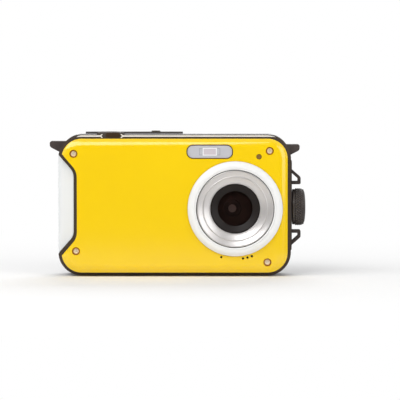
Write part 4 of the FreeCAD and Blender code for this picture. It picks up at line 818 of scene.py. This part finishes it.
points = []
turns = []
for row in range(TOOTH_ROWS):
    along = KNOB_BASE + FIRST_ROW + row * ROW_PITCH
    past_crown = max(0.0, along - (KNOB_END - CROWN_LENGTH))
    radius = KNOB_RADIUS - TOOTH_DEPTH - past_crown * CROWN_SLOPE
    for i in range(TEETH_ROUND):
        angle = 2 * math.pi * (i + 0.5 * (row % 2)) / TEETH_ROUND
        points.append((along, radius * math.sin(angle), KNOB_UP + radius * math.cos(angle)))
        turns.append(-angle)
knob_skin = satin_plastic("knob_plastic", "#3b3431", 0.36, grain=3000.0, relief=0.12)
tooth = tooth_shape()
teeth = scatter("knob_knurl", tooth, points, turns, "X", knob_skin)
bpy.data.objects.remove(tooth)
teeth.data.set_sharp_from_angle(angle=SHARP_ABOVE)
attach(teeth, "knob")
knob_profile = [
    (0, 43.75), (0.9, 43.75), (0.9, 45.35), (1.8, 45.35), (1.8, 49.8), (7.3, 49.8), (7.45, 49.9),
    (7.5, 50.05), (7.5, 50.85), (7.4, 50.98), (7.4, 51.1), (7.62, 51.12), (7.62, 53.35), (7.5, 53.75),
    (7.25, 54.25), (6.8, 54.7), (6.1, 55.0), (4.85, 55.18), (3.2, 55.32), (0, 55.38)]
placed("lock_knob_look", lathe(millimetres(knob_profile), steps=120, axis="X", centre=(0, 0, KNOB_UP)),
       knob_skin, "knob", ["lock_knob"], round_width=0.00005)
dressed("knob_seal", seal_rubber, round_width=0.0)
dressed("latch_bar", pin_steel, round_width=0.0001)
dressed("latch_screw", pin_steel, round_width=0.0)


# Rear display
# A dark tinted window with the grey panel behind it, set just below the rear cover's face.

dressed("display_window", coated_glass("display_tint", "#3a3b40", "#2d3036"), round_width=0.0001)
dressed("display_panel", dark_gloss("panel_face", "#23262c", 0.3), round_width=0.0001)


# Rear keys
# Ten round keys of satin grey plastic, each slightly dished, with a plain raised sign: a bar and a cross
# for zoom, arrows for the pad, a dot, a triangle, a square and three bars. Sizes are in millimetres.

KEY_COLUMN = -29.8
KEY_TOP = 13.3
KEY_FLANGE = 0.6
FLANGE_BACK, FLANGE_FRONT = 10.0, 10.6
SIGN_TOP = KEY_TOP - 0.1
SIGN_THICK = 0.2


def key_cap(radius):
    """The profile of a dished round key on its flange."""
    return [
        (0, KEY_TOP - 0.16), (radius - 1.3, KEY_TOP - 0.13), (radius - 0.75, KEY_TOP - 0.05),
        (radius - 0.45, KEY_TOP), (radius - 0.2, KEY_TOP - 0.03), (radius - 0.04, KEY_TOP - 0.16),
        (radius, KEY_TOP - 0.35), (radius, FLANGE_FRONT), (radius + KEY_FLANGE, FLANGE_FRONT),
        (radius + KEY_FLANGE, FLANGE_BACK), (0, FLANGE_BACK)]


def bar(across, up, width, height):
    """The corners of a rectangle about a point."""
    return [(across + width * x / 2, up + height * z / 2) for x, z in ((-1, -1), (1, -1), (1, 1), (-1, 1))]


def arrow(turn):
    """The corners of a triangle that points right, or elsewhere by a turn in degrees."""
    corners = []
    for angle, reach in ((0, 0.75), (125, 0.7), (235, 0.7)):
        way = math.radians(angle + turn)
        corners.append((reach * math.cos(way), reach * math.sin(way)))
    return corners


def dot(radius, count):
    """The corners of a small disc."""
    turns = [2 * math.pi * i / count for i in range(count)]
    return [(radius * math.cos(turn), radius * math.sin(turn)) for turn in turns]


key_skin = satin_plastic("key_plastic", "#8c9092", 0.34)
sign_paint = satin_plastic("sign_paint", "#f4f4f2", 0.5)
ZOOM_BAR = bar(0, 0, 1.9, 0.4)
# Each key's place across from the column and up, its radius, and the outlines of its sign
KEYS = {
    "zoom_out_key": (-4.0, 50.995, 2.7, [ZOOM_BAR]),
    "zoom_in_key": (4.0, 50.995, 2.7, [ZOOM_BAR, bar(0, 0.575, 0.4, 0.75), bar(0, -0.575, 0.4, 0.75)]),
    "play_key": (-4.6, 40.986, 2.1, [arrow(180)]),
    "mode_key": (4.6, 40.986, 2.1, [
        bar(0, 0.5, 1.3, 0.3), bar(0, -0.5, 1.3, 0.3), bar(-0.5, 0, 0.3, 0.7), bar(0.5, 0, 0.3, 0.7)]),
    "ok_key": (0, 26.997, 2.6, [dot(0.6, 24)]),
    "up_key": (0, 33.197, 2.1, [arrow(90)]),
    "down_key": (0, 20.797, 2.1, [arrow(270)]),
    "left_key": (-6.2, 26.997, 2.1, [arrow(180)]),
    "right_key": (6.2, 26.997, 2.1, [arrow(0)]),
    "menu_key": (0, 13.009, 2.1, [bar(0, up, 1.4, 0.24) for up in (0.5, 0, -0.5)]),
}
for name, (across, up, radius, signs) in KEYS.items():
    middle = ((KEY_COLUMN + across) * MILLIMETRE, 0, up * MILLIMETRE)
    placed(name + "_look", lathe(millimetres(key_cap(radius)), steps=64, axis="Y", centre=middle), key_skin,
           name, [name])
    plates = []
    for corners in signs:
        moved = [(KEY_COLUMN + across + x, up + z) for x, z in corners]
        plates.append(prism(moved, SIGN_TOP - SIGN_THICK, SIGN_TOP))
    placed(name + "_sign", plates, sign_paint, name)
dressed("key_mat", seal_rubber, round_width=0.0)
dressed("key_switches", satin_plastic("switch_white", "#d5d3cf", 0.4), round_width=0.0)


# Inside
# What the housing holds: a green board with copper tracks, its chips on rows of tinned legs, the battery in
# its bay, the card socket, the contacts, the flash capacitor and the brass tripod nut.

BOARD_FACE = 5.7 * MILLIMETRE
LEG_PITCH = 0.9 * MILLIMETRE
LEG_BLOCKS = [((0, -0.5, -0.16), (0.4, -0.4, 0.16)), ((0.3, -0.5, -0.16), (0.4, 0, 0.16)),
              ((0.3, -0.1, -0.16), (0.8, 0, 0.16))]


def printed_board(name):
    """Solder mask over copper: green, with lighter tracks and small gold pads, drawn coarser than real."""
    made, tree, place = new_material(name)
    turned = add(tree, "ShaderNodeMapping", {"Vector": place, "Rotation": (math.pi / 2, 0, 0)})
    tracks = add(tree, "ShaderNodeTexBrick", {
        "Vector": turned.outputs["Vector"], "Scale": 420.0, "Mortar Size": 0.06, "Brick Width": 2.6,
        "Row Height": 0.5, "Color1": (0, 0, 0, 1), "Color2": (0, 0, 0, 1), "Mortar": (1, 1, 1, 1)})
    masked = mixed(tree, tracks.outputs["Color"], "#124a28", "#1f7040")
    cells = add(tree, "ShaderNodeTexVoronoi", {"Vector": place, "Scale": 330.0, "Randomness": 0.6})
    pad = add(tree, "ShaderNodeMath", {0: cells.outputs["Distance"], 1: 0.16}, operation="LESS_THAN")
    tone = mixed(tree, pad.outputs[0], masked, "#c9a458")
    shader = add(tree, "ShaderNodeBsdfPrincipled", {
        "Base Color": tone, "Metallic": pad.outputs[0], "Roughness": 0.38, "IOR": 1.5})
    end_material(tree, shader)
    return made


dressed("main_board", printed_board("board_resin"), round_width=0.0)
dressed("main_chips", satin_plastic("chip_resin", "#1b1b1c", 0.5), round_width=0.0001)
leg = joined_mesh("leg", [
    block(Vector(low) * MILLIMETRE, Vector(high) * MILLIMETRE) for low, high in LEG_BLOCKS])
points = []
turns = []
for low, high in islands("main_chips"):
    middle = (low + high) / 2
    half = (high.x - low.x) / 2
    count = int((2 * half - LEG_PITCH) / LEG_PITCH)
    for side in range(4):
        angle = side * math.pi / 2
        for i in range(count):
            along = (i - (count - 1) / 2) * LEG_PITCH
            points.append((middle.x + half * math.cos(angle) + along * math.sin(angle), BOARD_FACE,
                           middle.z - half * math.sin(angle) + along * math.cos(angle)))
            turns.append(angle)
legs = scatter("chip_legs", leg, points, turns, "Y", plated_metal("tinned_legs", "#d9dadb", "#bfc0c2", 900.0))
bpy.data.objects.remove(leg)
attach(legs, "root")
dressed("battery", satin_plastic("battery_wrap", "#31343a", 0.45), round_width=0.0003)
dressed("battery_bay", satin_plastic("bay_plastic", "#262524", 0.5), round_width=0.0001)
dressed("battery_contacts", bright_metal("contact_gold", "#d9b45a", 0.25), round_width=0.0001)
dressed("card_socket", plated_metal("socket_steel", "#cfcfd0", "#b9b9ba", 900.0), round_width=0.0001)
dressed("flash_capacitor", satin_plastic("capacitor_sleeve", "#1d2233", 0.35), round_width=0.0002)
dressed("tripod_nut", plated_metal("nut_brass", "#c7a052", "#a88440", 900.0), round_width=0.0001)


# Camera, light and floor
# A calm, nearly straight view from the front, and three large soft lamps round a pale floor. The world
# is the white backdrop behind the object and the dimmer room in front of it, which metal and glass show.

CAMERA_DISTANCE = 1.400
CAMERA_LIFT = math.radians(3.0)
AIM = Vector((0.0107, -0.0125, 0.0322))
ROOM_GREY = 0.06
FILL_LIGHT = 0.42
FLOOR_HALF = 4.0
FLOOR_DROP = 0.0002


def soft_lamp(name, place, width, height, watts):
    """A rectangular softbox that faces the object."""
    data = bpy.data.lights.new(name, "AREA")
    data.shape = "RECTANGLE"
    data.size = width
    data.size_y = height
    data.energy = watts
    made = bpy.data.objects.new(name, data)
    made.location = place
    made.rotation_euler = (AIM - Vector(place)).to_track_quat("-Z", "Y").to_euler()
    bpy.context.scene.collection.objects.link(made)


view = bpy.data.cameras.new("camera")
view.lens = 299.6
view.sensor_width = 36.0
camera = bpy.data.objects.new("camera", view)
back = Vector((0, -math.cos(CAMERA_LIFT), math.sin(CAMERA_LIFT)))
camera.location = AIM + back * CAMERA_DISTANCE
camera.rotation_euler = (-back).to_track_quat("-Z", "Y").to_euler()
bpy.context.scene.collection.objects.link(camera)
bpy.context.scene.camera = camera

soft_lamp("key_lamp", (-0.30, -0.42, 0.50), 0.80, 0.34, 3.0)
soft_lamp("fill_lamp", (0.50, -0.45, 0.22), 0.36, 0.50, 1.2)
soft_lamp("rear_lamp", (0.10, 0.60, 0.50), 0.50, 0.40, 2.6)

world = bpy.data.worlds.new("backdrop")
bpy.context.scene.world = world
world.use_nodes = True
sky = world.node_tree
sky.nodes.clear()
heading = add(sky, "ShaderNodeTexCoord", {}).outputs["Generated"]
parts = add(sky, "ShaderNodeSeparateXYZ", {0: heading})
room = add(sky, "ShaderNodeMapRange", {
    "Value": parts.outputs["Y"], "From Min": -0.95, "From Max": 0.1, "To Min": ROOM_GREY, "To Max": 1.0},
    interpolation_type="SMOOTHSTEP")
flag = add(sky, "ShaderNodeMapRange", {
    "Value": parts.outputs["Y"], "From Min": 0.75, "From Max": 0.96, "To Min": 1.0, "To Max": 0.12},
    interpolation_type="SMOOTHSTEP")
dimmed = add(sky, "ShaderNodeMath", {0: room.outputs["Result"], 1: flag.outputs["Result"]},
             operation="MULTIPLY")
path = add(sky, "ShaderNodeLightPath", {})
mirrored = add(sky, "ShaderNodeMath", {
    0: path.outputs["Is Glossy Ray"], 1: path.outputs["Is Transmission Ray"]}, operation="MAXIMUM")
lit = add(sky, "ShaderNodeBackground", {"Color": (1, 1, 1, 1), "Strength": FILL_LIGHT})
around = add(sky, "ShaderNodeBackground", {"Color": (1, 1, 1, 1), "Strength": dimmed.outputs[0]})
white = add(sky, "ShaderNodeBackground", {"Color": (1, 1, 1, 1), "Strength": 1.0})
glossy = add(sky, "ShaderNodeMixShader", {0: mirrored.outputs[0], 1: lit.outputs[0], 2: around.outputs[0]})
choice = add(sky, "ShaderNodeMixShader", {
    0: path.outputs["Is Camera Ray"], 1: glossy.outputs[0], 2: white.outputs[0]})
add(sky, "ShaderNodeOutputWorld", {"Surface": choice.outputs[0]})

floor_mesh = bpy.data.meshes.new("floor")
floor_mesh.from_pydata([(x * FLOOR_HALF, y * FLOOR_HALF, 0) for x, y in ((-1, -1), (1, -1), (1, 1), (-1, 1))],
                       [], [(0, 1, 2, 3)])
floor = bpy.data.objects.new("floor", floor_mesh)
floor.location.z = cad_box[0].z - FLOOR_DROP
bpy.context.scene.collection.objects.link(floor)
paper, floor_tree, floor_place = new_material("pale_paper")
reach = add(floor_tree, "ShaderNodeVectorMath", {0: floor_place}, operation="LENGTH")
fade = add(floor_tree, "ShaderNodeMapRange", {
    "Value": reach.outputs["Value"], "From Min": 0.03, "From Max": 0.30}, interpolation_type="SMOOTHSTEP")
floor_path = add(floor_tree, "ShaderNodeLightPath", {})
floor_direct = add(floor_tree, "ShaderNodeMath", {
    0: floor_path.outputs["Is Camera Ray"], 1: floor_path.outputs["Is Glossy Ray"]}, operation="MAXIMUM")
floor_seen = add(floor_tree, "ShaderNodeMath", {
    0: fade.outputs["Result"], 1: floor_direct.outputs[0]}, operation="MULTIPLY")
floor_light = add(floor_tree, "ShaderNodeMapRange", {
    "Value": floor_path.outputs["Is Glossy Ray"], "To Min": 1.0, "To Max": ROOM_GREY})
floor_mirrored = add(floor_tree, "ShaderNodeMath", {
    0: floor_seen.outputs[0], 1: floor_path.outputs["Is Transmission Ray"]}, operation="MAXIMUM")
floor_shade = add(floor_tree, "ShaderNodeBsdfDiffuse", {"Color": (0.92, 0.92, 0.92, 1)})
floor_white = add(floor_tree, "ShaderNodeEmission", {
    "Color": (1, 1, 1, 1), "Strength": floor_light.outputs["Result"]})
floor_mix = add(floor_tree, "ShaderNodeMixShader", {
    0: floor_mirrored.outputs[0], 1: floor_shade.outputs[0], 2: floor_white.outputs[0]})
add(floor_tree, "ShaderNodeOutputMaterial", {"Surface": floor_mix.outputs[0]})
floor_mesh.materials.append(paper)

bpy.context.scene.view_settings.view_transform = "Standard"
